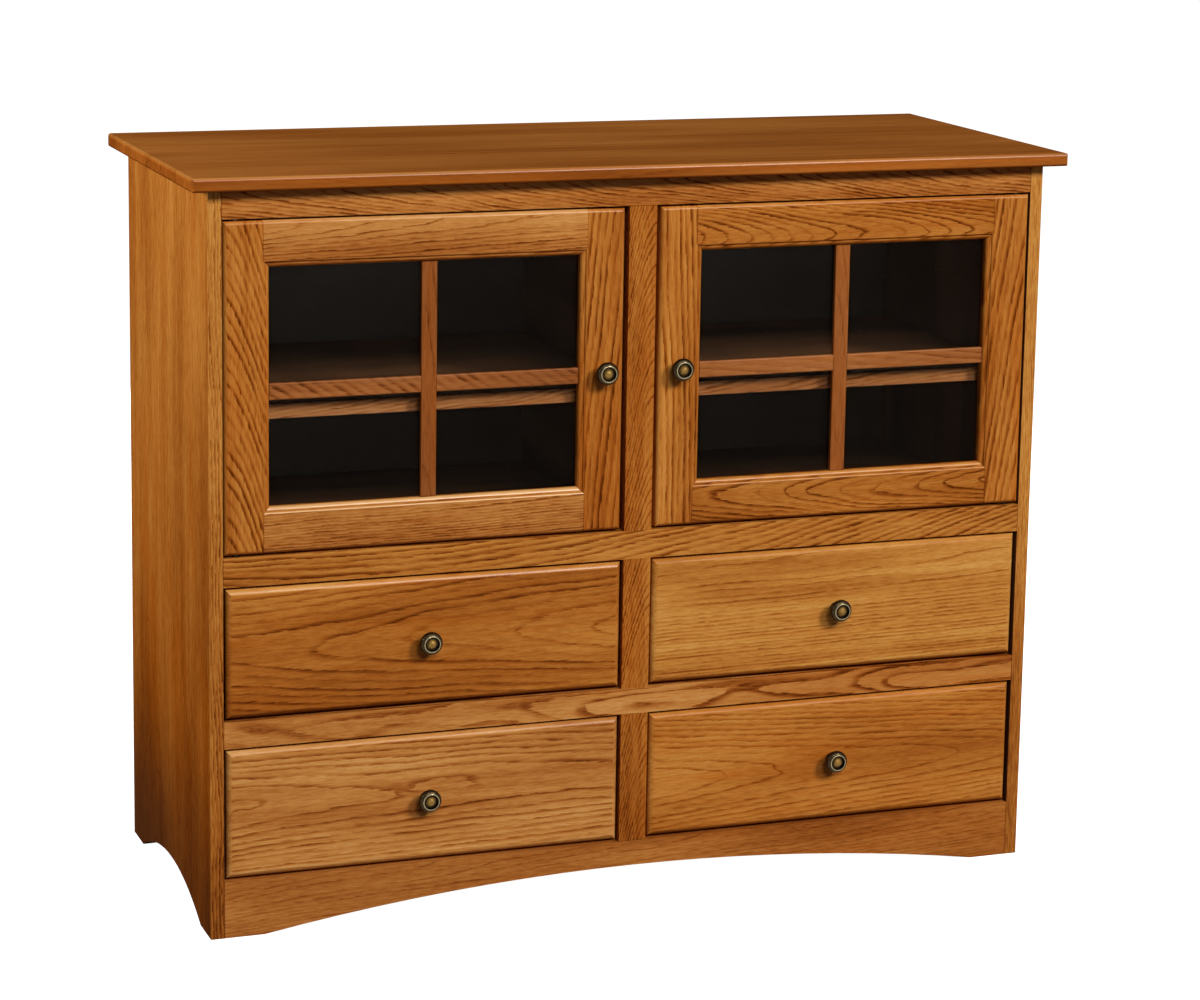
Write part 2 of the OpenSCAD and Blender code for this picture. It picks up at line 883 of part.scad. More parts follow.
// Puts a slide section on both sides of the left column's drawer, over its opening's edge
module as_slides(z) {
    translate([0, slide_y, z + box_rise + slide_rise + slide_h / 2]) {
        translate([board_t, 0, 0]) along_y(slide_l) children();
        translate([mullion_x, 0, 0]) mirror([1, 0, 0]) along_y(slide_l) children();
    }
}

module slide_cabinet_members() {
    color(zinc) on_both_sides() for (z = drawer_zs) as_slides(z) outer_member_section();
}

module drawer_slides(z) {
    color(zinc) as_slides(z) inner_member_section();
}

// Strips that bring the divider's slides out to the edge of the centre stile
module slide_spacers() {
    color(oak_end) on_both_sides() for (z = drawer_zs)
        translate([mullion_x, frame_t, z + box_rise + slide_rise])
            cube([spacer_t, slide_l, slide_h]);
}

// Nodes

in_part() top_panel();
in_part() side_panel();  // side_panel_left
in_part() on_right() side_panel();  // side_panel_right
in_part() top_face_rail();
in_part() middle_face_rail();
in_part() lower_face_rail();
in_part() front_apron();
in_part() center_face_stiles();
in_part() center_dividers();
in_part() compartment_floor();
in_part() cabinet_bottom();
in_part() back_panel();
in_part() top_cleats();
in_part() shelves();
in_part() shelf_pins();
in_part() slide_spacers();
in_part() slide_cabinet_members();
in_part() hinge_sockets();
in_part() door_catches();
in_part() cabinet_screws();

in_part() hinge_stile();  // left_door_hinge_stile
in_part() knob_stile();  // left_door_knob_stile
in_part() top_rail();  // left_door_top_rail
in_part() bottom_rail();  // left_door_bottom_rail
in_part() upright_muntin();  // left_door_upright_muntin
in_part() cross_muntins();  // left_door_cross_muntins
in_part() door_glass();  // left_door_glass
in_part() glass_stops();  // left_door_glass_stops
in_part() door_fittings();  // left_door_fittings
in_part() door_knob();  // left_door_knob

in_part() on_right() hinge_stile();  // right_door_hinge_stile
in_part() on_right() knob_stile();  // right_door_knob_stile
in_part() on_right() top_rail();  // right_door_top_rail
in_part() on_right() bottom_rail();  // right_door_bottom_rail
in_part() on_right() upright_muntin();  // right_door_upright_muntin
in_part() on_right() cross_muntins();  // right_door_cross_muntins
in_part() on_right() door_glass();  // right_door_glass
in_part() on_right() glass_stops();  // right_door_glass_stops
in_part() on_right() door_fittings();  // right_door_fittings
in_part() on_right() door_knob();  // right_door_knob

in_part() drawer_front(upper_opening_z);  // upper_left_drawer_front
in_part() drawer_box(upper_opening_z);  // upper_left_drawer_box
in_part() drawer_bottom(upper_opening_z);  // upper_left_drawer_bottom
in_part() drawer_slides(upper_opening_z);  // upper_left_drawer_slides
in_part() drawer_knob(upper_opening_z);  // upper_left_drawer_knob

in_part() on_right() drawer_front(upper_opening_z);  // upper_right_drawer_front
in_part() on_right() drawer_box(upper_opening_z);  // upper_right_drawer_box
in_part() on_right() drawer_bottom(upper_opening_z);  // upper_right_drawer_bottom
in_part() on_right() drawer_slides(upper_opening_z);  // upper_right_drawer_slides
in_part() on_right() drawer_knob(upper_opening_z);  // upper_right_drawer_knob

in_part() drawer_front(lower_opening_z);  // lower_left_drawer_front
in_part() drawer_box(lower_opening_z);  // lower_left_drawer_box
in_part() drawer_bottom(lower_opening_z);  // lower_left_drawer_bottom
in_part() drawer_slides(lower_opening_z);  // lower_left_drawer_slides
in_part() drawer_knob(lower_opening_z);  // lower_left_drawer_knob

in_part() on_right() drawer_front(lower_opening_z);  // lower_right_drawer_front
in_part() on_right() drawer_box(lower_opening_z);  // lower_right_drawer_box
in_part() on_right() drawer_bottom(lower_opening_z);  // lower_right_drawer_bottom
in_part() on_right() drawer_slides(lower_opening_z);  // lower_right_drawer_slides
in_part() on_right() drawer_knob(lower_opening_z);  // lower_right_drawer_knob
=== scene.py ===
"""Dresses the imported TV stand: oak, each board with its own figure, clear glass, brass knobs and steel."""

import logging
from dataclasses import dataclass, field, replace
from enum import Enum
from functools import partial, reduce
from math import cos, pi, radians, sin
from typing import Sequence

import bpy
import numpy as np
from mathutils import Matrix, Vector


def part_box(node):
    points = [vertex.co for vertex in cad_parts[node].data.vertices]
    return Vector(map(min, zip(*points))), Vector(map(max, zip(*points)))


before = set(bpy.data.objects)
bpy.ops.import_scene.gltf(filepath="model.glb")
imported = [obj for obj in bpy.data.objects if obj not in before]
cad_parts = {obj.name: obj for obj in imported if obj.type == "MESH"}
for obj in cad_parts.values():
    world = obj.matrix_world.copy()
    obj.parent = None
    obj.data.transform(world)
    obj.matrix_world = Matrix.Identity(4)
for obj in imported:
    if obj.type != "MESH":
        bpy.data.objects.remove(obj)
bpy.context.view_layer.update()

log = logging.getLogger("tv_stand")

Triple = tuple[float, float, float]
Colour = tuple[float, float, float, float]
Row = tuple[Colour, ...]
Socket = bpy.types.NodeSocket
Material = bpy.types.Material
Term = Socket | float | Sequence[float]

MM = 0.001
ORIGIN: Triple = (0.0, 0.0, 0.0)
WHITE: Colour = (1.0, 1.0, 1.0, 1.0)


class Axis(Enum):
    """A direction of the cabinet: across it, from front to back, or up."""

    X = 0
    Y = 1
    Z = 2


class Lot(Enum):
    """The lot that a board was sawn from: the stand's golden oak, or its fairer oak."""

    GOLDEN = "golden"
    FAIR = "fair"


def linear(red: int, green: int, blue: int) -> Colour:
    """Turns a screen colour of 0 to 255 into the linear colour that a shader takes.

    Args:
        red: The red level.
        green: The green level.
        blue: The blue level.

    Returns:
        The linear colour with full opacity.
    """
    levels = np.array([red, green, blue]) / 255
    levels = np.where(levels <= 0.04045, levels / 12.92, ((levels + 0.055) / 1.055) ** 2.4)
    return (*levels.tolist(), 1.0)


def row(*colours: tuple[int, int, int]) -> Row:
    """Turns a row of screen colours into linear ones."""
    return tuple(linear(*colour) for colour in colours)


def spread(colours: Row) -> list[tuple[float, Colour]]:
    """Sets colours at even distances from 0 to 1."""
    return [(i / (len(colours) - 1), colour) for i, colour in enumerate(colours)]


class Graph:
    """A node tree, with a short method for each kind of node that the finishes use."""

    # The places of the colour sockets on a mix node, among those for its other kinds of value
    MIX_FIRST = 6
    MIX_SECOND = 7
    MIX_RESULT = 2

    def __init__(self, name: str, world: bool = False) -> None:
        """Starts an empty material or world.

        Args:
            name: Its name.
            world: Whether it is a world.
        """
        self.owner = (bpy.data.worlds if world else bpy.data.materials).new(name)
        self.owner.use_nodes = True
        self.tree = self.owner.node_tree
        self.tree.nodes.clear()
        self.output = self.add("ShaderNodeOutputWorld" if world else "ShaderNodeOutputMaterial")

    def add(self, kind: str, **settings: object) -> bpy.types.Node:
        """Adds a node.

        Args:
            kind: Blender's name for the kind of node.
            settings: The node's own properties.

        Returns:
            The new node.
        """
        node = self.tree.nodes.new(kind)
        for key, value in settings.items():
            setattr(node, key, value)
        return node

    def feed(self, socket: Socket, term: Term) -> None:
        """Links a socket to an input, or sets the input to a value.

        Args:
            socket: The input.
            term: The socket or the value.
        """
        if isinstance(term, Socket):
            self.tree.links.new(term, socket)
        else:
            socket.default_value = term

    def join(self, node: bpy.types.Node, *terms: Term) -> Socket:
        """Feeds a node's first inputs in order.

        Args:
            node: The node.
            terms: The sockets or the values for them.

        Returns:
            The node's first output.
        """
        for socket, term in zip(node.inputs, terms):
            self.feed(socket, term)
        return node.outputs[0]

    def math(self, operation: str, *terms: Term, clamp: bool = False) -> Socket:
        """Adds a sum on numbers, whose result is held between 0 and 1 where clamp says so."""
        return self.join(self.add("ShaderNodeMath", operation=operation, use_clamp=clamp), *terms)

    def times(self, *terms: Term) -> Socket:
        """Multiplies numbers."""
        return reduce(partial(self.math, "MULTIPLY"), terms)

    def vector(self, operation: str, *terms: Term) -> Socket:
        """Adds a sum on vectors."""
        return self.join(self.add("ShaderNodeVectorMath", operation=operation), *terms)

    def place(self, centre: Triple = ORIGIN, turn: Triple = ORIGIN) -> Socket:
        """Reads the object's coordinates from a centre, turned.

        Args:
            centre: The point that becomes the origin, in metres.
            turn: The turn of the new axes, in radians.

        Returns:
            The placed coordinates' socket.
        """
        node = self.add("ShaderNodeMapping", vector_type="TEXTURE")
        self.feed(node.inputs["Vector"], self.add("ShaderNodeTexCoord").outputs["Object"])
        node.inputs["Location"].default_value = centre
        node.inputs["Rotation"].default_value = turn
        return node.outputs[0]

    def split(self, vector: Term) -> tuple[Socket, ...]:
        """Takes a vector apart.

        Args:
            vector: The vector.

        Returns:
            The sockets of its three numbers.
        """
        node = self.add("ShaderNodeSeparateXYZ")
        self.feed(node.inputs[0], vector)
        return tuple(node.outputs)

    def noise(self, at: Term, stretch: Triple, detail: float = 1.0, roughness: float = 0.5) -> Socket:
        """Adds smooth noise between 0 and 1.

        Args:
            at: The coordinates, in metres.
            stretch: Waves per metre along each axis.
            detail: How many finer octaves are added.
            roughness: How strong the finer octaves are.

        Returns:
            The noise's socket.
        """
        node = self.add("ShaderNodeTexNoise", noise_dimensions="3D")
        self.feed(node.inputs["Vector"], self.vector("MULTIPLY", at, stretch))
        node.inputs["Scale"].default_value = 1.0
        node.inputs["Detail"].default_value = detail
        node.inputs["Roughness"].default_value = roughness
        return node.outputs[0]

    def line_noise(self, at: Term, scale: float) -> Socket:
        """Adds noise along one number, with one finer octave.

        Args:
            at: The number.
            scale: Waves per unit.

        Returns:
            The noise's socket.
        """
        node = self.add("ShaderNodeTexNoise", noise_dimensions="1D")
        self.feed(node.inputs["W"], at)
        node.inputs["Scale"].default_value = scale
        node.inputs["Detail"].default_value = 1.0
        return node.outputs[0]

    def remap(self, value: Term, low: Term, high: Term, to_low: Term = 0.0, to_high: Term = 1.0) -> Socket:
        """Moves a number smoothly from one range to another, and holds it there.

        Args:
            value: The number.
            low: Where the range starts.
            high: Where it ends.
            to_low: What the start becomes.
            to_high: What the end becomes.

        Returns:
            The new number's socket.
        """
        node = self.add("ShaderNodeMapRange", interpolation_type="SMOOTHSTEP")
        return self.join(node, value, low, high, to_low, to_high)

    def total(self, start: Term, *shares: tuple[Term, Term]) -> Socket:
        """Adds products to a start value.

        Args:
            start: The value that they are added to.
            shares: Pairs of numbers or sockets, each multiplied with one another.

        Returns:
            The sum's socket.
        """
        for level, share in shares:
            start = self.math("MULTIPLY_ADD", level, share, start)
        return start

    def ramp(self, value: Term, stops: Sequence[tuple[float, Colour]]) -> Socket:
        """Reads a colour off a row of colours.

        Args:
            value: The number, from 0 to 1.
            stops: The row's points, each a place and a colour.

        Returns:
            The colour's socket.
        """
        node = self.add("ShaderNodeValToRGB")
        elements = node.color_ramp.elements
        while len(elements) < len(stops):
            elements.new(0.5)
        for element, (at, colour) in zip(elements, stops):
            element.position, element.color = at, colour
        return self.join(node, value)

    def mix(self, factor: Term, first: Term, second: Term) -> Socket:
        """Mixes two colours.

        Args:
            factor: The second colour's share.
            first: The first colour.
            second: The second colour.

        Returns:
            The mixed colour's socket.
        """
        node = self.add("ShaderNodeMix", data_type="RGBA")
        self.feed(node.inputs[0], factor)
        self.feed(node.inputs[self.MIX_FIRST], first)
        self.feed(node.inputs[self.MIX_SECOND], second)
        return node.outputs[self.MIX_RESULT]

    def bump(self, height: Term, depth: float, strength: float) -> Socket:
        """Turns a height into a bent normal.

        Args:
            height: The height, where 1 stands out.
            depth: What a height of 1 is, in metres.
            strength: The share of it that shows.

        Returns:
            The normal's socket.
        """
        node = self.add("ShaderNodeBump")
        node.inputs["Strength"].default_value = strength
        node.inputs["Distance"].default_value = depth
        self.feed(node.inputs["Height"], height)
        return node.outputs[0]

    def shader(self, kind: str, **values: Term) -> bpy.types.Node:
        """Adds a shader.

        Args:
            kind: Blender's name for the shader.
            values: Its sockets by name, with underscores for spaces.

        Returns:
            The shader node.
        """
        node = self.add(kind)
        for key, term in values.items():
            self.feed(node.inputs[key.replace("_", " ")], term)
        return node

    def surface(self, **values: Term) -> bpy.types.Node:
        """Adds the main shader and joins it to the output.

        Args:
            values: Its sockets by name, with underscores for spaces.

        Returns:
            The shader node.
        """
        node = self.shader("ShaderNodeBsdfPrincipled", **values)
        self.feed(self.output.inputs["Surface"], node.outputs[0])
        return node

    def ray(self, *kinds: str) -> Socket:
        """Tells what a ray of light is for.

        Args:
            kinds: Blender's names for the kinds of ray that count.

        Returns:
            1 where the ray is of one of the kinds, and 0 where it isn't.
        """
        path = self.add("ShaderNodeLightPath")
        seen, *others = (path.outputs[f"Is {kind} Ray"] for kind in kinds)
        for other in others:
            seen = self.math("MAXIMUM", seen, other)
        return seen

    def either(self, share: Term, first: bpy.types.Node, second: bpy.types.Node) -> None:
        """Joins two shaders to the output.

        Args:
            share: The second shader's share.
            first: The first shader.
            second: The second shader.
        """
        both = self.join(self.add("ShaderNodeMixShader"), share, first.outputs[0], second.outputs[0])
        self.feed(self.output.inputs["Surface"], both)


@dataclass(frozen=True)
class Cut:
    """How a board lay in its log, in millimetres.

    The year rings are circles round the log's pith, so a point of the board is on the ring of radius
    sqrt((across - pith across)^2 + (behind - pith behind)^2) + along * (taper + swell * along) + bends.
    Each ring starts with a dark line, as wide on the face as line says.
    """

    pith: tuple[float, float] = (60.0, 190.0)
    taper: float = 0.02
    ring: float = 6.0
    wander: float = 5.0
    ripple: float = 1.0
    line: float = 2.0
    swell: float = 0.0


@dataclass(frozen=True)
class Look:
    """How a board took its staining: its tone, how its lines, streaks and pores stand out, and its gloss.

    The coarseness says how many streaks lie side by side in a metre, and the lot which oak it is.
    """

    tone: float = 0.5
    strength: float = 0.75
    warmth: float = 0.2
    streak: float = 0.2
    pore: float = 0.14
    # The gloss sets the lacquer's shine, and also how much paler the edges that look up are painted: painted
    # highlight.
    gloss: float = 0.5
    coarseness: float = 75.0
    lot: Lot = Lot.GOLDEN


@dataclass(frozen=True)
class PaintedShade:
    """The part of a board inside the cabinet that is painted dark as painted shade: all of it, or what lies
    past a plane, in metres.
    """

    axis: Axis | None = None
    place: float = 0.0
    beyond: bool = True


@dataclass(frozen=True)
class Board:
    """One board of oak: its node, the way its grain runs, the way its wide face looks, and its figure.

    The numbers after the painted shade are for a few boards only. On the narrow front edge of a side panel,
    strip is how strongly the lines stand out, strip_lift how much paler the edge is and strip_foot how much
    darker it gets towards the floor; foot is the same for the wide face, whose top is also painted paler
    where the lamp falls, as painted light. Rim is how much darker the upright edges are at the left, and
    drift how much redder the right end is than the middle.
    """

    node: str
    grain: Axis
    face: Axis
    cut: Cut
    look: Look
    seed: int
    painted_shade: PaintedShade | None = None
    strip: float = 0.0
    strip_lift: float = 0.0
    strip_foot: float = 0.0
    foot: float = 0.0
    rim: float = 0.0
    drift: float = 0.0


@dataclass(frozen=True)
class Pattern:
    """A smooth pattern in the oak, which changes slowly along the grain and fast across it and behind it.

    The window gives the two levels of the plain noise that become the pattern's lowest level and 1.
    """

    along: float
    across: float
    octaves: float = 2.0
    roughness: float = 0.5
    shift: Triple = ORIGIN
    window: tuple[float, float] | None = None
    lowest: float = 0.0

    def read(self, g: Graph, at: Term) -> Socket:
        """Adds the pattern to a material.

        Args:
            g: The material's graph.
            at: The board's coordinates, in metres.

        Returns:
            The pattern's level, from 0 to 1.
        """
        if any(self.shift):
            at = g.vector("ADD", at, self.shift)
        level = g.noise(at, (self.along, self.across, self.across), self.octaves, self.roughness)
        return level if self.window is None else g.remap(level, *self.window, self.lowest)


PORES = Pattern(46.0, 460.0, roughness=0.7, window=(0.38, 0.66))
WANDER = Pattern(4.2, 13.0, octaves=1.0)
RIPPLE = Pattern(19.0, 70.0)
BREAKS = Pattern(11.0, 60.0, shift=(3.3, 9.1, 1.7), window=(0.34, 0.56), lowest=0.35)
FIBRE = Pattern(110.0, 1500.0, octaves=1.0)
CLOUD = Pattern(1.6, 10.0, window=(0.3, 0.7))
BLUSH = Pattern(3.5, 16.0, shift=(7.7, 3.1, 5.3), window=(0.4, 0.7))
HONEY = Pattern(5.0, 130.0, roughness=0.6, shift=(1.9, 6.1, 8.3))
STREAK = Pattern(2.2, 75.0, octaves=3.0, roughness=0.55)


class Figure:
    """The figure of one board, drawn in its material: where a point lies on the board, and its year rings."""

    # The turn that brings the first axis to the grain
    TURNS = {Axis.X: ORIGIN, Axis.Y: (0.0, 0.0, pi / 2), Axis.Z: (0.0, -pi / 2, 0.0)}

    # The turned axis that runs behind the face, for a grain and a face
    BEHIND = {
        (Axis.X, Axis.Y): 1, (Axis.X, Axis.Z): 2,
        (Axis.Y, Axis.X): 1, (Axis.Y, Axis.Z): 2,
        (Axis.Z, Axis.X): 2, (Axis.Z, Axis.Y): 1,
    }

    # How far each new seed shifts the patterns
    SEED_STEPS: Triple = (1.71, 0.93, 1.37)

    # Where the front edge's look ends and where the end grain starts, as depths under the surface in metres
    STRIP_DEPTHS = (2 * MM, 4 * MM)
    END_DEPTHS = (1.2 * MM, 0.3 * MM)

    # The greatest part of the normal on a flat face and on a rounded edge
    FLAT, ROUNDED = 0.995, 0.94

    # The normal's heights between which an edge comes to look up or down, and a face stops being upright
    LOOKS_UP, LOOKS_DOWN, UPRIGHT = (0.05, 0.2), (-0.4, -0.1), (0.4, 0.8)

    # How steeply the rings cross the face for each millimetre that they bend
    WANDER_SLOPE, RIPPLE_SLOPE = 0.01, 0.04

    # How far the pores pull the rings' lines out, in metres
    LONGEST_TOOTH = 1.1 * MM

    # The widest line as a share of its ring, the lines' rise and fade as shares of it, and their loss by wear
    WIDEST_LINE, LINE_RISE, LINE_FADE, WORN_LINE = 0.42, 0.4, 2.2, -0.75

    # How the lines' strength changes: its waves per ring, their window and the faintest line
    YEAR_WAVES, YEAR_WINDOW, FAINTEST = 0.7, (0.34, 0.6), 0.3

    # The share of a line that only its pores draw
    POROUS = 0.35

    # How far from a board's middle its colour still changes, in metres
    DRIFT_REACH = 0.5

    def __init__(self, g: Graph, board: Board) -> None:
        """Finds where a point lies on the board, and which way the surface looks there.

        Args:
            g: The material's graph.
            board: The board.
        """
        low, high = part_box(board.node)
        reach = (high - low)[board.grain.value] / 2
        self.g, self.board = g, board
        spot = g.place(tuple((low + high) / 2), self.TURNS[board.grain])
        parts, behind = g.split(spot), self.BEHIND[board.grain, board.face]
        self.along, self.across, self.behind = parts[0], parts[3 - behind], parts[behind]
        if board.grain is Axis.Z and board.face is Axis.Y:
            self.across = g.times(self.across, -1.0)
        self.seeded = g.vector("ADD", spot, tuple(board.seed * step for step in self.SEED_STEPS))
        _, self.world_y, self.world_z = g.split(g.place())
        self.end = g.remap(g.math("ABSOLUTE", self.along), *(reach - depth for depth in self.END_DEPTHS))
        self.face = 1.0
        if board.strip:
            self.face = g.remap(self.world_y, *(low.y + depth for depth in self.STRIP_DEPTHS))

        normal = g.add("ShaderNodeTexCoord").outputs["Normal"]
        x, y, z = g.split(g.vector("ABSOLUTE", normal))
        self.height = g.split(normal)[2]
        self.edge = g.remap(g.math("MAXIMUM", g.math("MAXIMUM", x, y), z), self.FLAT, self.ROUNDED)
        # Rounded edges that look up get a painted highlight and more lacquer.
        self.up = g.times(self.edge, g.remap(self.height, *self.LOOKS_UP))
        # Rounded edges that look down get painted shade.
        self.down = g.times(self.edge, g.remap(self.height, *self.LOOKS_DOWN, 1.0, 0.0))
        self.pores, self.cloud = self.read(PORES), self.read(CLOUD)

    def read(self, pattern: Pattern) -> Socket:
        """Draws one of the oak's patterns on the board."""
        return pattern.read(self.g, self.seeded)

    def bend(self, pattern: Pattern, reach: float) -> Socket:
        """Draws a pattern as a bend of the rings, to both sides by its reach in millimetres."""
        return self.g.total(-reach * MM, (self.read(pattern), 2 * reach * MM))

    def rings(self) -> tuple[Socket, Socket]:
        """Counts the year rings, from the log's pith outwards.

        Returns:
            The count, where each ring starts at a whole number, and how steeply the rings cross the face.
        """
        g, cut = self.g, self.board.cut
        bends = g.math("ADD", self.bend(WANDER, cut.wander), self.bend(RIPPLE, cut.ripple))
        from_pith = g.math("SUBTRACT", self.across, cut.pith[0] * MM)
        depth = g.math("SUBTRACT", self.behind, cut.pith[1] * MM)
        squares = g.total(g.times(depth, depth), (from_pith, from_pith))
        radius = g.math("SQRT", squares)
        climb = g.total(cut.taper, (self.along, cut.swell))
        climbed = g.total(radius, (self.along, climb))
        slope = g.math("DIVIDE", from_pith, radius)
        bent = (self.WANDER_SLOPE * cut.wander) ** 2 + (self.RIPPLE_SLOPE * cut.ripple) ** 2
        slope = g.math("SQRT", g.total(bent + cut.taper ** 2, (slope, slope)))
        teeth = g.total(bends, (g.times(self.pores, slope), self.LONGEST_TOOTH))
        return g.math("DIVIDE", g.math("ADD", climbed, teeth), cut.ring * MM), slope

    def band(self) -> Socket:
        """Draws the dark line at the start of each ring.

        Returns:
            The line's strength, which varies from ring to ring and is worn off the rounded edges.
        """
        g, board, cut = self.g, self.board, self.board.cut
        turns, slope = self.rings()
        year = g.math("FRACT", turns)
        line = g.math("MINIMUM", g.times(slope, cut.line / cut.ring), self.WIDEST_LINE)
        rise, fade = g.times(line, self.LINE_RISE), g.times(line, self.LINE_FADE)
        before = g.remap(year, g.math("SUBTRACT", 1.0, rise), 1.0)
        early = g.math("MAXIMUM", g.remap(year, rise, fade, 1.0, 0.0), before)
        which = g.remap(g.line_noise(turns, self.YEAR_WAVES), *self.YEAR_WINDOW, self.FAINTEST)
        porous = g.total(1 - self.POROUS, (self.pores, self.POROUS))
        band = g.times(early, which, porous)
        strength = board.look.strength
        if board.strip:
            strength = g.remap(self.face, 0.0, 1.0, board.strip, strength)
        band = g.times(band, self.read(BREAKS), strength)
        return g.times(band, g.total(1.0, (self.edge, self.WORN_LINE)))

    def upright(self) -> Socket:
        """Reads how upright the surface is: 0 on the board's upper face, 1 on its edges."""
        return self.g.remap(self.height, *self.UPRIGHT, 1.0, 0.0)

    def drift(self) -> Socket:
        """Reads how far the board's colour drifts from its middle to its two ends."""
        reach, drift = self.DRIFT_REACH, self.board.drift
        return self.g.remap(self.along, -reach, reach, -drift, drift)


@dataclass(frozen=True)
class Shares:
    """What each pattern adds to a board's shade, which runs from 0, its palest colour, to 1, its darkest."""

    plain: float = -0.15
    tone: float = 0.6
    band: float = 0.6
    cloud: float = 0.3
    fibre: float = 0.14
    end_grain: float = 0.35
    closed_end: float = 0.18
    # Edges that look up are painted paler: painted highlight.
    painted_highlight: float = -0.35
    # Edges that look down are painted darker: painted shade.
    painted_shade_below: float = 0.25
    # A side panel's face is painted paler near its top, where the lamp falls: painted light.
    painted_light_top: float = -0.06
    drift: float = 0.32


@dataclass(frozen=True)
class Redness:
    """What each pattern adds to the red colours' share, and that share's levels down and up a side panel."""

    plain: float = 0.75
    blush: float = 0.5
    band: float = 0.3
    honey: float = 1.1
    side_foot: float = 0.88
    side_top: float = 0.4


@dataclass(frozen=True)
class Oak:
    """Oak under a satin lacquer: golden, fair and red colours, each from pale latewood to dark earlywood."""

    golden: Row = row((224, 168, 90), (203, 137, 61), (175, 104, 39), (138, 72, 21), (94, 44, 11))
    fair: Row = row((224, 170, 104), (203, 138, 70), (175, 105, 45), (138, 72, 25), (94, 44, 13))
    red: Row = row((210, 127, 51), (189, 103, 30), (160, 79, 15), (124, 57, 9), (84, 35, 5))
    # A greyer brown, mixed into a side panel's face towards the floor and the rear.
    low_rear_brown: Colour = linear(92, 62, 40)
    # The dark colours painted inside the cabinet, where the lamps' light hardly reaches: painted shade.
    night: Colour = linear(106, 70, 45)
    night_deep: Colour = linear(62, 39, 26)
    night_cloud: float = 0.6
    low_rear_share: float = 0.5
    low_rear_front: float = 0.6
    shares: Shares = Shares()
    redness: Redness = Redness()
    roughness: float = 0.5
    pore_roughness: float = 0.12
    coat_roughness: float = 0.3
    shine: float = 0.12
    dark_shine: float = -0.1
    grazing: tuple[float, float] = (0.2, 0.5)
    pore_hollow: float = -0.6
    line_hollow: float = -0.5
    pore_depth: float = 0.12 * MM
    relief: float = 0.6

    # Between which points a tone changes, in metres: up a side panel, back along it, and along the top board
    EDGE_RISE, FOOT_RISE, HIGH_RISE = (0.0, 0.75), (0.02, 0.34), (0.7, 0.95)
    RED_RISE, SOOT_RISE, SOOT_DEPTH = (0.35, 0.85), (0.0, 0.3), (-0.2, 0.2)
    RIM_LENGTH = (-0.15, 0.25)

    def material(self, board: Board) -> Material:
        """Makes the board's own material.

        Args:
            board: The board.

        Returns:
            The material.
        """
        g = Graph(f"oak_{board.node}")
        figure = Figure(g, board)
        band = figure.band()
        shade = self.shade(figure, band)
        colour = self.colour(figure, band, shade)
        hollow = g.total(g.times(band, self.line_hollow), (figure.pores, self.pore_hollow))
        # The parts inside the cabinet are painted dark: painted shade.
        if board.painted_shade is not None:
            colour, hollow = self.painted_shade_inside(figure, board.painted_shade, colour, hollow)
        g.surface(
            Base_Color=colour,
            Roughness=g.total(self.roughness, (figure.pores, self.pore_roughness)),
            Specular_IOR_Level=0.0,
            Coat_Weight=self.lacquer(figure, shade),
            Coat_Roughness=self.coat_roughness,
            Normal=g.bump(hollow, self.pore_depth, self.relief),
        )
        return g.owner

    def shade(self, figure: Figure, band: Term) -> Socket:
        """Finds how dark the board is at a point.

        Args:
            figure: The board's figure.
            band: The dark lines' strength.

        Returns:
            The shade, from 0 to 1.
        """
        g, board, look, shares = figure.g, figure.board, figure.board.look, self.shares
        shade = g.total(
            shares.tone * look.tone + shares.plain - look.streak,
            (band, shares.band),
            (figure.cloud, shares.cloud),
            (figure.read(replace(STREAK, across=look.coarseness)), 2 * look.streak),
            (figure.pores, look.pore),
            (figure.read(FIBRE), shares.fibre),
            (figure.end, shares.closed_end if board.rim else shares.end_grain),
            # Edges that look up are painted paler: painted highlight.
            (figure.up, shares.painted_highlight * look.gloss),
        )
        if board.strip:
            lift = g.remap(figure.face, 0.0, 1.0, -board.strip_lift, 0.0)
            fall = g.remap(figure.world_z, *self.EDGE_RISE, board.strip_foot, -board.strip_foot / 3)
            shade = g.total(g.math("ADD", shade, lift), (fall, g.math("SUBTRACT", 1.0, figure.face)))
        if board.foot:
            low = g.remap(figure.world_z, *self.FOOT_RISE, board.foot, 0.0)
            # Paler near the top of a side panel, where the lamp falls: painted light.
            high = g.remap(figure.world_z, *self.HIGH_RISE, 0.0, shares.painted_light_top)
            shade = g.total(shade, (g.math("ADD", low, high), figure.face))
        if board.rim:
            left = g.remap(figure.along, *self.RIM_LENGTH, board.rim, 0.0)
            left = g.times(left, g.math("SUBTRACT", 1.0, figure.end))
            shade = g.total(shade, (figure.upright(), left))
        if board.drift:
            shade = g.total(shade, (figure.drift(), shares.drift))
        # Edges that look down are painted darker: painted shade.
        return g.math("MULTIPLY_ADD", figure.down, shares.painted_shade_below, shade, clamp=True)

    def warmth(self, figure: Figure) -> Socket:
        """Finds how red the board is at a point.

        Args:
            figure: The board's figure.

        Returns:
            The red colours' share.
        """
        g, board, look, redness = figure.g, figure.board, figure.board.look, self.redness
        warmth = g.total(redness.plain, (figure.read(BLUSH), redness.blush))
        if board.foot:
            fall = g.remap(figure.world_z, *self.RED_RISE, redness.side_foot, redness.side_top)
            warmth = g.times(warmth, g.times(figure.face, fall))
        if board.rim:
            warmth = figure.upright()
        if board.drift:
            warmth = g.math("ADD", warmth, g.math("DIVIDE", figure.drift(), look.warmth))
        honey = g.total(-redness.honey / 2, (figure.read(HONEY), redness.honey))
        return g.total(honey, (warmth, look.warmth))

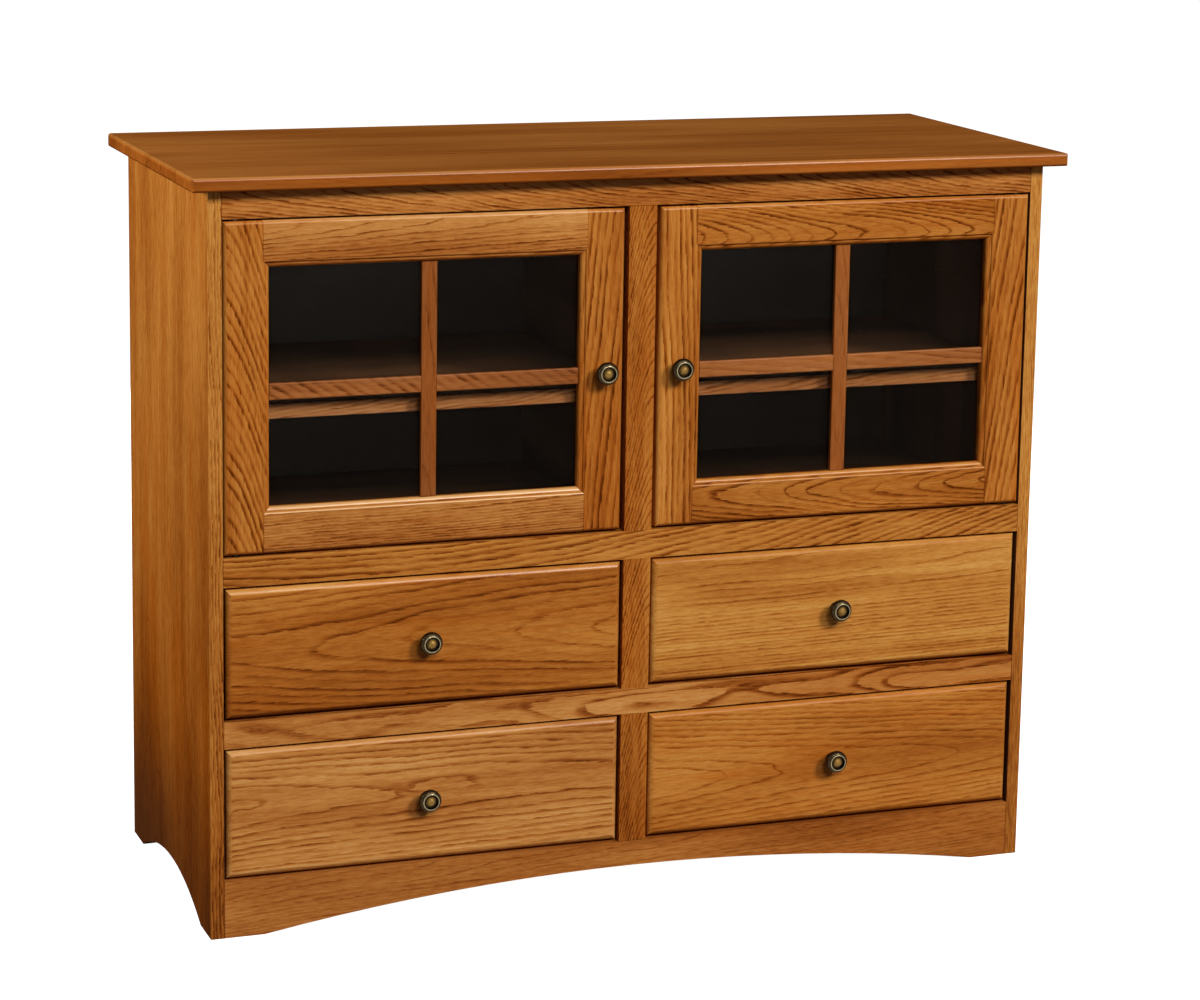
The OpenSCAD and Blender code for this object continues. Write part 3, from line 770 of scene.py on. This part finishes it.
    def colour(self, figure: Figure, band: Term, shade: Term) -> Socket:
        """Finds the board's colour at a point.

        Args:
            figure: The board's figure.
            band: The dark lines' strength.
            shade: The shade, from 0 to 1.

        Returns:
            The colour's socket.
        """
        g, board = figure.g, figure.board
        plain = self.fair if board.look.lot is Lot.FAIR else self.golden
        share = g.math("MULTIPLY_ADD", band, self.redness.band, self.warmth(figure), clamp=True)
        colour = g.mix(share, g.ramp(shade, spread(plain)), g.ramp(shade, spread(self.red)))
        # A side panel's face is mixed towards a greyer brown near the floor and the rear.
        if board.foot:
            low = g.remap(figure.world_z, *self.SOOT_RISE, self.low_rear_share, 0.0)
            rear = g.remap(figure.world_y, *self.SOOT_DEPTH, self.low_rear_front, 1.0)
            colour = g.mix(g.times(low, rear, figure.face), colour, self.low_rear_brown)
        return colour

    def painted_shade_inside(self, figure: Figure, painted_shade: PaintedShade, colour: Term, hollow: Term) -> tuple[Term, Term]:
        """Paints dark over the part of the board inside the cabinet, as painted shade.

        Args:
            figure: The board's figure.
            painted_shade: The part painted dark, as painted shade.
            colour: The board's colour.
            hollow: The height of the board's surface, which the painted shade flattens.

        Returns:
            The colour and the height with the painted shade.
        """
        g = figure.g
        deep = g.total((1 - self.night_cloud) / 2, (figure.cloud, self.night_cloud))
        dark = g.mix(deep, self.night, self.night_deep)
        if painted_shade.axis is None:
            return dark, 0.0
        place = g.split(g.place())[painted_shade.axis.value]
        within = g.math("GREATER_THAN" if painted_shade.beyond else "LESS_THAN", place, painted_shade.place)
        return g.mix(within, colour, dark), g.times(hollow, g.math("SUBTRACT", 1.0, within))

    def lacquer(self, figure: Figure, shade: Term) -> Socket:
        """Finds how much the lacquer shines: most on edges that look up, and not at a grazing angle.

        Args:
            figure: The board's figure.
            shade: The shade, from 0 to 1.

        Returns:
            The lacquer's weight.
        """
        g = figure.g
        facing = g.add("ShaderNodeLayerWeight")
        facing.inputs["Blend"].default_value = 0.5
        shine = g.total(self.shine, (shade, self.dark_shine), (figure.up, figure.board.look.gloss))
        return g.times(shine, g.remap(facing.outputs["Facing"], *self.grazing, 1.0, 0.0))


@dataclass(frozen=True)
class Glass:
    """Clear float glass, which lets the lamps' light through and reflects a little of the room."""

    tint: Colour = (0.93, 0.94, 0.93, 1.0)
    reflection: Colour = (1.0, 0.8, 0.62, 1.0)
    bending: float = 1.09
    waves: Triple = (9.0, 9.0, 9.0)
    roughest: float = 0.02

    def material(self) -> Material:
        """Makes the glass, whose faint unevenness softens what it reflects.

        Returns:
            The material.
        """
        g = Graph("clear_glass")
        pane = g.surface(
            Base_Color=self.tint,
            Roughness=g.remap(g.noise(g.place(), self.waves, 2.0), 0.4, 0.7, 0.0, self.roughest),
            IOR=self.bending,
            Specular_Tint=self.reflection,
            Transmission_Weight=1.0,
        )
        open_air = g.shader("ShaderNodeBsdfTransparent", Color=self.tint)
        g.either(g.ray("Shadow", "Diffuse"), pane, open_air)
        return g.owner


@dataclass(frozen=True)
class PaleWood:
    """Sanded hardwood under clear varnish, or plywood, for the parts that stay inside.

    Where a node holds boards that run front to back at its two ends and boards that run across between them,
    crossing says how thick the end boards are, in metres. Where the wood's front face inside the cabinet is
    painted dark as painted shade, painted_shade_before says how far back the painted shade reaches.
    """

    name: str
    grain: Axis
    light: Colour = linear(206, 170, 122)
    dark: Colour = linear(164, 122, 78)
    across: float = 160.0
    along: float = 4.0
    crossing: float = 0.0
    painted_shade_before: float | None = None
    # The dark colour painted on the front face inside the cabinet: painted shade.
    painted_shade: Colour = linear(30, 23, 17)
    roughness: float = 0.5
    pore_roughness: float = 0.1
    pore_share: float = 0.35
    pore_fineness: float = 6.0
    pore_depth: float = 0.08 * MM
    relief: float = 0.4

    # How far each new seed shifts the pattern
    SEED_STEPS = (1.3, 0.7, 2.1)

    def coordinates(self, g: Graph, node: str | None) -> Socket:
        """Reads the object's coordinates, turned a quarter on the boards that run across.

        Args:
            g: The material's graph.
            node: The node that holds crossing boards, or None.

        Returns:
            The coordinates' socket.
        """
        at = g.place()
        if node is None:
            return at
        low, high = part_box(node)
        middle = (low.x + high.x) / 2
        from_middle = g.math("ABSOLUTE", g.math("SUBTRACT", g.split(at)[0], middle))
        between = g.math("LESS_THAN", from_middle, (high.x - low.x) / 2 - self.crossing)
        return g.mix(between, at, g.place(turn=(0.0, 0.0, pi / 2)))

    def material(self, seed: int, node: str | None = None) -> Material:
        """Makes the wood, whose soft streaks run with the grain.

        Args:
            seed: The number that sets its pattern apart.
            node: The node that holds crossing boards, or None.

        Returns:
            The material.
        """
        g = Graph(self.name)
        stretch = [self.across] * 3
        stretch[self.grain.value] = self.along
        at = g.vector("ADD", self.coordinates(g, node), tuple(seed * step for step in self.SEED_STEPS))
        streak = g.noise(at, tuple(stretch), 3.0, 0.6)
        pores = g.remap(g.noise(at, tuple(self.pore_fineness * waves for waves in stretch)), 0.5, 0.75)
        colour = g.mix(g.remap(streak, 0.3, 0.7), self.light, self.dark)
        colour = g.mix(g.times(pores, self.pore_share), colour, self.dark)
        # The front face inside the cabinet is painted dark: painted shade.
        if self.painted_shade_before is not None:
            inside = g.math("LESS_THAN", g.split(g.place())[1], self.painted_shade_before)
            colour = g.mix(inside, colour, self.painted_shade)
        g.surface(
            Base_Color=colour,
            Roughness=g.total(self.roughness, (pores, self.pore_roughness)),
            Specular_IOR_Level=0.3,
            Normal=g.bump(pores, self.pore_depth, self.relief),
        )
        return g.owner


@dataclass(frozen=True)
class Steel:
    """Steel with a faint drawn grain, zinc-plated unless it is blackened."""

    name: str = "zinc_plated_steel"
    bright: Colour = linear(176, 178, 180)
    dull: Colour = linear(128, 130, 134)
    grain: Triple = (900.0, 12.0, 900.0)
    clouds: Triple = (45.0, 45.0, 45.0)
    roughness: float = 0.26
    grain_roughness: float = 0.16
    grain_depth: float = 0.02 * MM
    relief: float = 0.4

    def material(self) -> Material:
        """Makes the steel.

        Returns:
            The material.
        """
        g = Graph(self.name)
        at = g.place()
        drawn, cloudy = g.noise(at, self.grain), g.noise(at, self.clouds, 2.0)
        g.surface(
            Base_Color=g.mix(g.remap(cloudy, 0.35, 0.65), self.bright, self.dull),
            Metallic=1.0,
            Roughness=g.total(self.roughness, (drawn, self.grain_roughness)),
            Normal=g.bump(drawn, self.grain_depth, self.relief),
        )
        return g.owner


@dataclass(frozen=True)
class Brass:
    """Antiqued brass: a dark patina in the hollows, rubbed brighter on the ring and the button."""

    patina: Colour = linear(26, 19, 12)
    shoulder: Colour = linear(52, 43, 29)
    rubbed: Colour = linear(152, 138, 106)
    button: Colour = linear(120, 92, 46)
    knob_radius: float = 16 * MM
    wear: Triple = (420.0, 420.0, 420.0)
    wear_share: float = 0.45
    wear_roughness: float = 0.2
    wear_depth: float = 0.03 * MM
    relief: float = 0.5
    button_roughness: float = 0.48
    ring_roughness: float = 0.26

    def material(self, node: str) -> Material:
        """Makes one knob's finish, whose zones lie round the knob's own axis.

        Args:
            node: The knob's node.

        Returns:
            The material.
        """
        low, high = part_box(node)
        g = Graph(f"antique_brass_{node}")
        x, _, z = g.split(g.place(((low.x + high.x) / 2, 0.0, (low.z + high.z) / 2)))
        radius = g.math("SQRT", g.total(g.times(z, z), (x, x)))
        zones = [
            (0.0, self.button),
            (0.40, self.button),
            (0.45, self.patina),
            (0.63, self.patina),
            (0.69, self.rubbed),
            (0.71, self.rubbed),
            (0.75, self.shoulder),
            (1.0, self.shoulder),
        ]
        share = g.math("DIVIDE", radius, self.knob_radius)
        worn = g.remap(g.noise(g.place(), self.wear, 3.0, 0.65), 0.42, 0.72)
        smooth = g.remap(share, 0.38, 0.46, self.button_roughness, self.ring_roughness)
        g.surface(
            Base_Color=g.mix(g.times(worn, self.wear_share), g.ramp(share, zones), self.patina),
            Metallic=1.0,
            Roughness=g.total(smooth, (worn, self.wear_roughness)),
            Normal=g.bump(worn, self.wear_depth, self.relief),
        )
        return g.owner


@dataclass(frozen=True)
class Plastic:
    """Dark moulded plastic with a fine texture."""

    dark: Colour = linear(38, 34, 32)
    light: Colour = linear(54, 49, 46)
    grain: Triple = (1800.0, 1800.0, 1800.0)
    roughness: float = 0.42
    grain_roughness: float = 0.15
    grain_depth: float = 0.03 * MM
    relief: float = 0.5

    def material(self) -> Material:
        """Makes the plastic.

        Returns:
            The material.
        """
        g = Graph("dark_moulded_plastic")
        grain = g.noise(g.place(), self.grain)
        g.surface(
            Base_Color=g.mix(grain, self.dark, self.light),
            Roughness=g.total(self.roughness, (grain, self.grain_roughness)),
            Normal=g.bump(grain, self.grain_depth, self.relief),
        )
        return g.owner


def dress(node: str, material: Material) -> None:
    """Gives a CAD node its material."""
    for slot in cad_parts[node].material_slots:
        slot.material = material


@dataclass(frozen=True)
class Lamp:
    """A soft lamp: where it stands, the point that it faces, its width and height, and its power in watts."""

    name: str
    place: Triple
    towards: Triple
    size: tuple[float, float]
    power: float

    def build(self) -> None:
        """Sets up the lamp, which the camera doesn't see."""
        data = bpy.data.lights.new(self.name, "AREA")
        data.shape = "RECTANGLE"
        data.size, data.size_y = self.size
        data.energy = self.power
        lamp = bpy.data.objects.new(self.name, data)
        lamp.location = self.place
        lamp.rotation_euler = (Vector(self.towards) - Vector(self.place)).to_track_quat("-Z", "Y").to_euler()
        lamp.visible_camera = False
        bpy.context.scene.collection.objects.link(lamp)


@dataclass
class Studio:
    """The white room: its floor, its soft lamps and the camera."""

    camera_place: Triple = (-1.6284, -4.4833, 1.6132)
    yaw: float = 20.34
    pitch: float = -10.48
    roll: float = 0.96
    lens: float = 100.59
    sensor: float = 36.0
    shift: tuple[float, float] = (-0.0039, -0.1165)
    lamps: tuple[Lamp, ...] = (
        Lamp("key_lamp", (4.3, -8.7, 6.68), (0.0, -0.25, 0.55), (2.4, 2.4), 785.0),
        Lamp("fill_lamp", (-0.6, -8.6, 6.2), (0.0, -0.25, 0.55), (2.8, 2.4), 350.0),
        Lamp("side_lamp", (-2.0, 0.0, 1.36), (-0.6, 0.0, 0.85), (0.6, 0.5), 18.5),
        Lamp("back_lamp", (0.8, 3.4, 0.9), (0.0, 0.2, 0.5), (1.5, 1.5), 90.0),
    )
    mild_light: Colour = (1.0, 0.98, 0.95, 1.0)
    mild_strength: float = 0.08
    floor_size: float = 40.0
    floor_height: float = -0.3 * MM
    floor_grey: Colour = (0.12, 0.12, 0.12, 1.0)
    floor_pale: Colour = (0.6, 0.6, 0.6, 1.0)

    def camera(self) -> None:
        """Sets up the camera: forward is (sin yaw cos pitch, cos yaw cos pitch, sin pitch), then rolled."""
        yaw, pitch, roll = radians(self.yaw), radians(self.pitch), radians(self.roll)
        forward = Vector((sin(yaw) * cos(pitch), cos(yaw) * cos(pitch), sin(pitch)))
        level = Vector((cos(yaw), -sin(yaw), 0.0))
        up = level.cross(forward)
        right = level * cos(roll) + up * sin(roll)
        up = right.cross(forward)
        data = bpy.data.cameras.new("photo_camera")
        data.sensor_width, data.lens = self.sensor, self.lens
        data.shift_x, data.shift_y = self.shift
        data.clip_end = 100.0
        camera = bpy.data.objects.new("photo_camera", data)
        turn = Matrix((right, up, -forward)).transposed()
        camera.matrix_world = Matrix.Translation(self.camera_place) @ turn.to_4x4()
        bpy.context.scene.collection.objects.link(camera)
        bpy.context.scene.camera = camera

    def room(self) -> None:
        """Makes the world: white where a camera, a mirror or glass looks, and a mild light for the rest."""
        g = Graph("white_room", world=True)
        mild = g.shader("ShaderNodeBackground", Color=self.mild_light, Strength=self.mild_strength)
        white = g.shader("ShaderNodeBackground", Color=WHITE, Strength=1.0)
        g.either(g.ray("Camera", "Glossy", "Transmission"), mild, white)
        bpy.context.scene.world = g.owner

    def floor(self) -> None:
        """Makes the floor: white where a camera, a mirror or glass looks, and grey for the rest."""
        half = self.floor_size / 2
        corners = [(half * x, half * y, self.floor_height) for x, y in ((-1, -1), (1, -1), (1, 1), (-1, 1))]
        mesh = bpy.data.meshes.new("studio_floor")
        mesh.from_pydata(corners, [], [(0, 1, 2, 3)])
        floor = bpy.data.objects.new("studio_floor", mesh)
        bpy.context.scene.collection.objects.link(floor)
        g = Graph("white_floor")
        matt = g.shader("ShaderNodeBsdfDiffuse", Color=self.floor_grey)
        pale = g.shader("ShaderNodeBsdfDiffuse", Color=self.floor_pale)
        glow = g.shader("ShaderNodeEmission", Color=WHITE, Strength=1.0)
        both = g.add("ShaderNodeAddShader")
        g.join(both, pale.outputs[0], glow.outputs[0])
        g.either(g.ray("Camera", "Glossy", "Transmission"), matt, both)
        mesh.materials.append(g.owner)

    def build(self) -> None:
        """Sets up the whole studio."""
        bpy.context.scene.view_settings.view_transform = "Standard"
        self.camera()
        for lamp in self.lamps:
            lamp.build()
        self.room()
        self.floor()
        log.info("studio: camera, %d lamps, white room and floor", len(self.lamps))


@dataclass
class Carcass:
    """The cabinet's top, sides, floors, dividers, back and shelves.

    The painted shade inside starts at the sides' inner faces, behind the shelves' front edges and before the
    back's
    rear face: side_x, shelf_front and back_painted_shade say where these lie, in metres.
    """

    side_x: float = 0.5912
    shelf_front: float = -0.2021
    back_painted_shade: float = 0.2428
    oak: Oak = field(default_factory=Oak)
    top_oak: Oak = field(default_factory=lambda: Oak(
        row((182, 120, 56), (164, 99, 43), (144, 82, 31), (116, 61, 21), (84, 40, 13))))
    shelf_oak: Oak = field(default_factory=lambda: Oak(
        row((204, 146, 94), (186, 123, 73), (161, 99, 54), (128, 75, 37), (92, 50, 24))))

    def boards(self) -> list[Board]:
        """Lists the boards of golden oak, which are all but the top and the shelves.

        Returns:
            The boards.
        """
        side_look = Look(0.4, 0.3, 1.0, 0.12, 0.2, coarseness=34.0)
        left_cut = Cut((120.0, 300.0), 0.015, 2.6, 7.0, 0.6, 1.0)
        right_cut = Cut((-120.0, 300.0), 0.015, 2.6, 7.0, 0.6, 1.0)
        # The sides' inner faces, the dividers and the compartment floor are painted dark: painted shade.
        return [
            Board("side_panel_left", Axis.Z, Axis.X, left_cut, side_look, 5,
                  PaintedShade(Axis.X, -self.side_x, True), strip=0.75, strip_lift=0.09, strip_foot=0.25, foot=0.22),
            Board("side_panel_right", Axis.Z, Axis.X, right_cut, side_look, 6,
                  PaintedShade(Axis.X, self.side_x, False), strip=0.75, strip_foot=0.1, foot=0.3),
            Board("center_dividers", Axis.Y, Axis.X, Cut(), Look(), 8, PaintedShade()),
            Board("compartment_floor", Axis.X, Axis.Z, Cut(), Look(), 9, PaintedShade()),
            Board("cabinet_bottom", Axis.X, Axis.Z, Cut(), Look(), 10),
        ]

    def build(self) -> None:
        """Dresses the carcass."""
        top = Board("top_panel", Axis.X, Axis.Z, Cut((30.0, 160.0), 0.02, 9.0, 8.0, 1.0, 3.0),
                    Look(0.33, 0.3, 0.55, 0.24, 0.08, 0.55), 3, rim=0.24)
        # The shelves are painted dark behind their front edges: painted shade.
        shelves = Board("shelves", Axis.X, Axis.Z, Cut((-210.0, 14.0), 0.1, 4.6, 10.0, 2.4, 1.8),
                        Look(0.18, 0.95, 0.1), 11, PaintedShade(Axis.Y, self.shelf_front, True))
        dress(top.node, self.top_oak.material(top))
        dress(shelves.node, self.shelf_oak.material(shelves))
        for board in self.boards():
            dress(board.node, self.oak.material(board))
        # The back's front face is painted dark: painted shade.
        back = PaleWood("plywood_back", Axis.Z, linear(176, 140, 98), linear(140, 104, 68), 60.0,
                        painted_shade_before=self.back_painted_shade)
        dress("back_panel", back.material(23))
        dress("top_cleats", PaleWood("cleat_wood", Axis.X).material(21))
        dress("slide_spacers", PaleWood("spacer_wood", Axis.Y).material(22))
        log.info("carcass: %d oak boards, back, cleats and spacers", len(self.boards()) + 2)


@dataclass
class FaceFrame:
    """The rails, centre stiles and arched apron that stand flush at the front."""

    oak: Oak = field(default_factory=Oak)

    def boards(self) -> list[Board]:
        """Lists the frame's boards.

        Returns:
            The boards.
        """
        return [
            Board("top_face_rail", Axis.X, Axis.Y, Cut((24.0, 20.0), -0.12, 3.8, 8.0, 1.6, 1.5),
                  Look(0.54, 0.95, 0.25, lot=Lot.FAIR), 31),
            Board("middle_face_rail", Axis.X, Axis.Y, Cut((-38.0, 26.0), -0.1, 6.0, 9.0, 1.2, 2.4, -0.12),
                  Look(0.4, 0.95, 0.1), 32),
            Board("lower_face_rail", Axis.X, Axis.Y, Cut((0.0, 8.0), -0.03, 9.0, 24.0, 2.0, 3.4),
                  Look(0.36, 1.0, 0.15, gloss=0.35, lot=Lot.FAIR), 33, drift=0.25),
            Board("front_apron", Axis.X, Axis.Y, Cut((60.0, 90.0), 0.03, 3.0, 5.0, 1.0, 1.2),
                  Look(0.57, 0.35, 0.15, lot=Lot.FAIR), 34, drift=0.2),
            Board("center_face_stiles", Axis.Z, Axis.Y, Cut((24.0, 14.0), 0.22, 3.4, 4.0, 1.2, 1.4),
                  Look(0.58, 0.75, 0.5), 35),
        ]

    def build(self) -> None:
        """Dresses the face frame."""
        for board in self.boards():
            dress(board.node, self.oak.material(board))
        log.info("face frame: %d boards", len(self.boards()))


@dataclass
class Door:
    """One glazed door, named by its side, with the figures and looks of its four frame boards."""

    side: str
    seed: int
    hinge_stile: tuple[Cut, Look]
    knob_stile: tuple[Cut, Look]
    top_rail: tuple[Cut, Look]
    bottom_rail: tuple[Cut, Look]
    cross: tuple[Cut, Look]
    oak: Oak = field(default_factory=Oak)
    rosy_oak: Oak = field(default_factory=lambda: Oak(
        row((188, 126, 74), (171, 106, 56), (152, 88, 43), (122, 66, 29), (86, 44, 17))))

    def boards(self) -> list[Board]:
        """Lists the door's boards.

        Returns:
            The boards.
        """
        pieces = [
            ("hinge_stile", Axis.Z, *self.hinge_stile),
            ("knob_stile", Axis.Z, *self.knob_stile),
            ("top_rail", Axis.X, *self.top_rail),
            ("bottom_rail", Axis.X, *self.bottom_rail),
            ("upright_muntin", Axis.Z, Cut((-10.0, 24.0), 0.06, 5.5, 4.0, 1.0, 1.8), Look(0.64, 0.4, 0.3)),
            ("cross_muntins", Axis.X, *self.cross),
            ("glass_stops", Axis.X, Cut(), Look()),
        ]
        return [
            Board(f"{self.side}_door_{name}", grain, Axis.Y, cut, look, self.seed + count)
            for count, (name, grain, cut, look) in enumerate(pieces)
        ]

    def build(self, glass: Material, blackened: Material) -> None:
        """Dresses the door.

        Args:
            glass: The glass's material.
            blackened: The fittings' material.
        """
        for board in self.boards():
            oak = self.rosy_oak if "muntin" in board.node else self.oak
            dress(board.node, oak.material(board))
        dress(f"{self.side}_door_glass", glass)
        dress(f"{self.side}_door_fittings", blackened)
        dress(f"{self.side}_door_knob", Brass().material(f"{self.side}_door_knob"))
        log.info("%s door: %d boards, glass, fittings and knob", self.side, len(self.boards()))


@dataclass
class Drawer:
    """One drawer, named by its place."""

    place: str
    cut: Cut
    look: Look
    seed: int
    box_wall: float = 0.012
    oak: Oak = field(default_factory=Oak)

    def build(self, steel: Material) -> None:
        """Dresses the drawer.

        Args:
            steel: The slides' material.
        """
        name = f"{self.place}_drawer"
        front = Board(f"{name}_front", Axis.X, Axis.Y, self.cut, self.look, self.seed)
        dress(front.node, self.oak.material(front))
        box = PaleWood(f"{name}_box_wood", Axis.Y, crossing=self.box_wall)
        dress(f"{name}_box", box.material(self.seed, f"{name}_box"))
        dress(f"{name}_bottom", PaleWood(f"{name}_plywood", Axis.X, across=60.0).material(self.seed + 1))
        dress(f"{name}_slides", steel)
        dress(f"{name}_knob", Brass().material(f"{name}_knob"))
        log.info("%s drawer: front, box, bottom, slides and knob", self.place)


def main() -> None:
    """Builds the studio and dresses the stand, one sub-assembly after another."""
    logging.basicConfig(level=logging.INFO, format="%(name)s: %(message)s")
    Studio().build()
    steel = Steel().material()
    blackened = Steel("blackened_steel", linear(62, 50, 40), linear(38, 31, 25)).material()
    glass = Glass().material()
    Carcass().build()
    FaceFrame().build()
    doors = [
        Door(
            "left", 41,
            (Cut((-38.0, 26.0), 0.28, 6.5, 4.0, 0.9, 2.4), Look(0.5, 1.0, 0.5, gloss=0.2)),
            (Cut((60.0, 26.0), 0.09, 8.5, 6.0, 1.2, 2.4), Look(0.46, 1.0, 0.5, gloss=0.3)),
            (Cut((26.0, 34.0), 0.03, 3.2, 4.0, 1.2, 1.3), Look(0.4, 0.9, 0.0, gloss=0.3, lot=Lot.FAIR)),
            (Cut((70.0, 40.0), 0.025, 3.4, 4.0, 1.0, 1.4), Look(0.36, 0.85, 0.0, gloss=1.0, lot=Lot.FAIR)),
            (Cut((-34.0, 12.0), 0.6, 12.0, 3.0, 1.0, 3.0), Look(0.45, 0.9, 0.0, gloss=0.2)),
        ),
        Door(
            "right", 61,
            (Cut((50.0, 22.0), 0.13, 8.5, 4.0, 1.2, 3.0), Look(0.46, 1.0, 0.55, gloss=0.2)),
            (Cut((-62.0, 22.0), 0.03, 8.0, 7.0, 1.2, 2.6), Look(0.28, 1.0, 0.45, gloss=0.2)),
            (Cut((-14.0, 16.0), 0.12, 4.2, 5.0, 1.6, 1.8), Look(0.5, 1.0, 0.35, gloss=0.15)),
            (Cut((6.0, 12.0), -0.08, 4.4, 9.0, 1.8, 1.8), Look(0.48, 0.95, 0.3, gloss=0.45)),
            (Cut((-34.0, 12.0), 0.1, 9.0, 3.0, 1.0, 3.0), Look(0.42, 0.5, 0.0, gloss=0.2)),
        ),
    ]
    for door in doors:
        door.build(glass, blackened)
    drawers = [
        Drawer("upper_left", Cut((4.0, 34.0), -0.06, 9.0, 8.0, 1.5, 2.4),
               Look(0.48, 0.75, 0.35, 0.14, gloss=0.6), 81),
        Drawer("upper_right", Cut((90.0, 70.0), 0.02, 4.6, 4.0, 1.0, 1.6),
               Look(0.3, 0.6, 0.0, 0.28, gloss=0.05), 83),
        Drawer("lower_left", Cut((10.0, 50.0), 0.02, 6.0, 6.0, 1.2, 2.2),
               Look(0.22, 0.85, 0.0, 0.3, gloss=0.3, lot=Lot.FAIR), 85),
        Drawer("lower_right", Cut((-10.0, 36.0), 0.055, 6.0, 5.0, 1.2, 2.0),
               Look(0.41, 0.6, 0.45, 0.14, gloss=0.08), 87),
    ]
    for drawer in drawers:
        drawer.build(steel)
    dress("door_catches", Plastic().material())
    dress("hinge_sockets", blackened)
    for node in ("cabinet_screws", "shelf_pins", "slide_cabinet_members"):
        dress(node, steel)
    log.info("fittings: catches, screws, sockets, pins and slides")


if __name__ == "__main__":
    main()
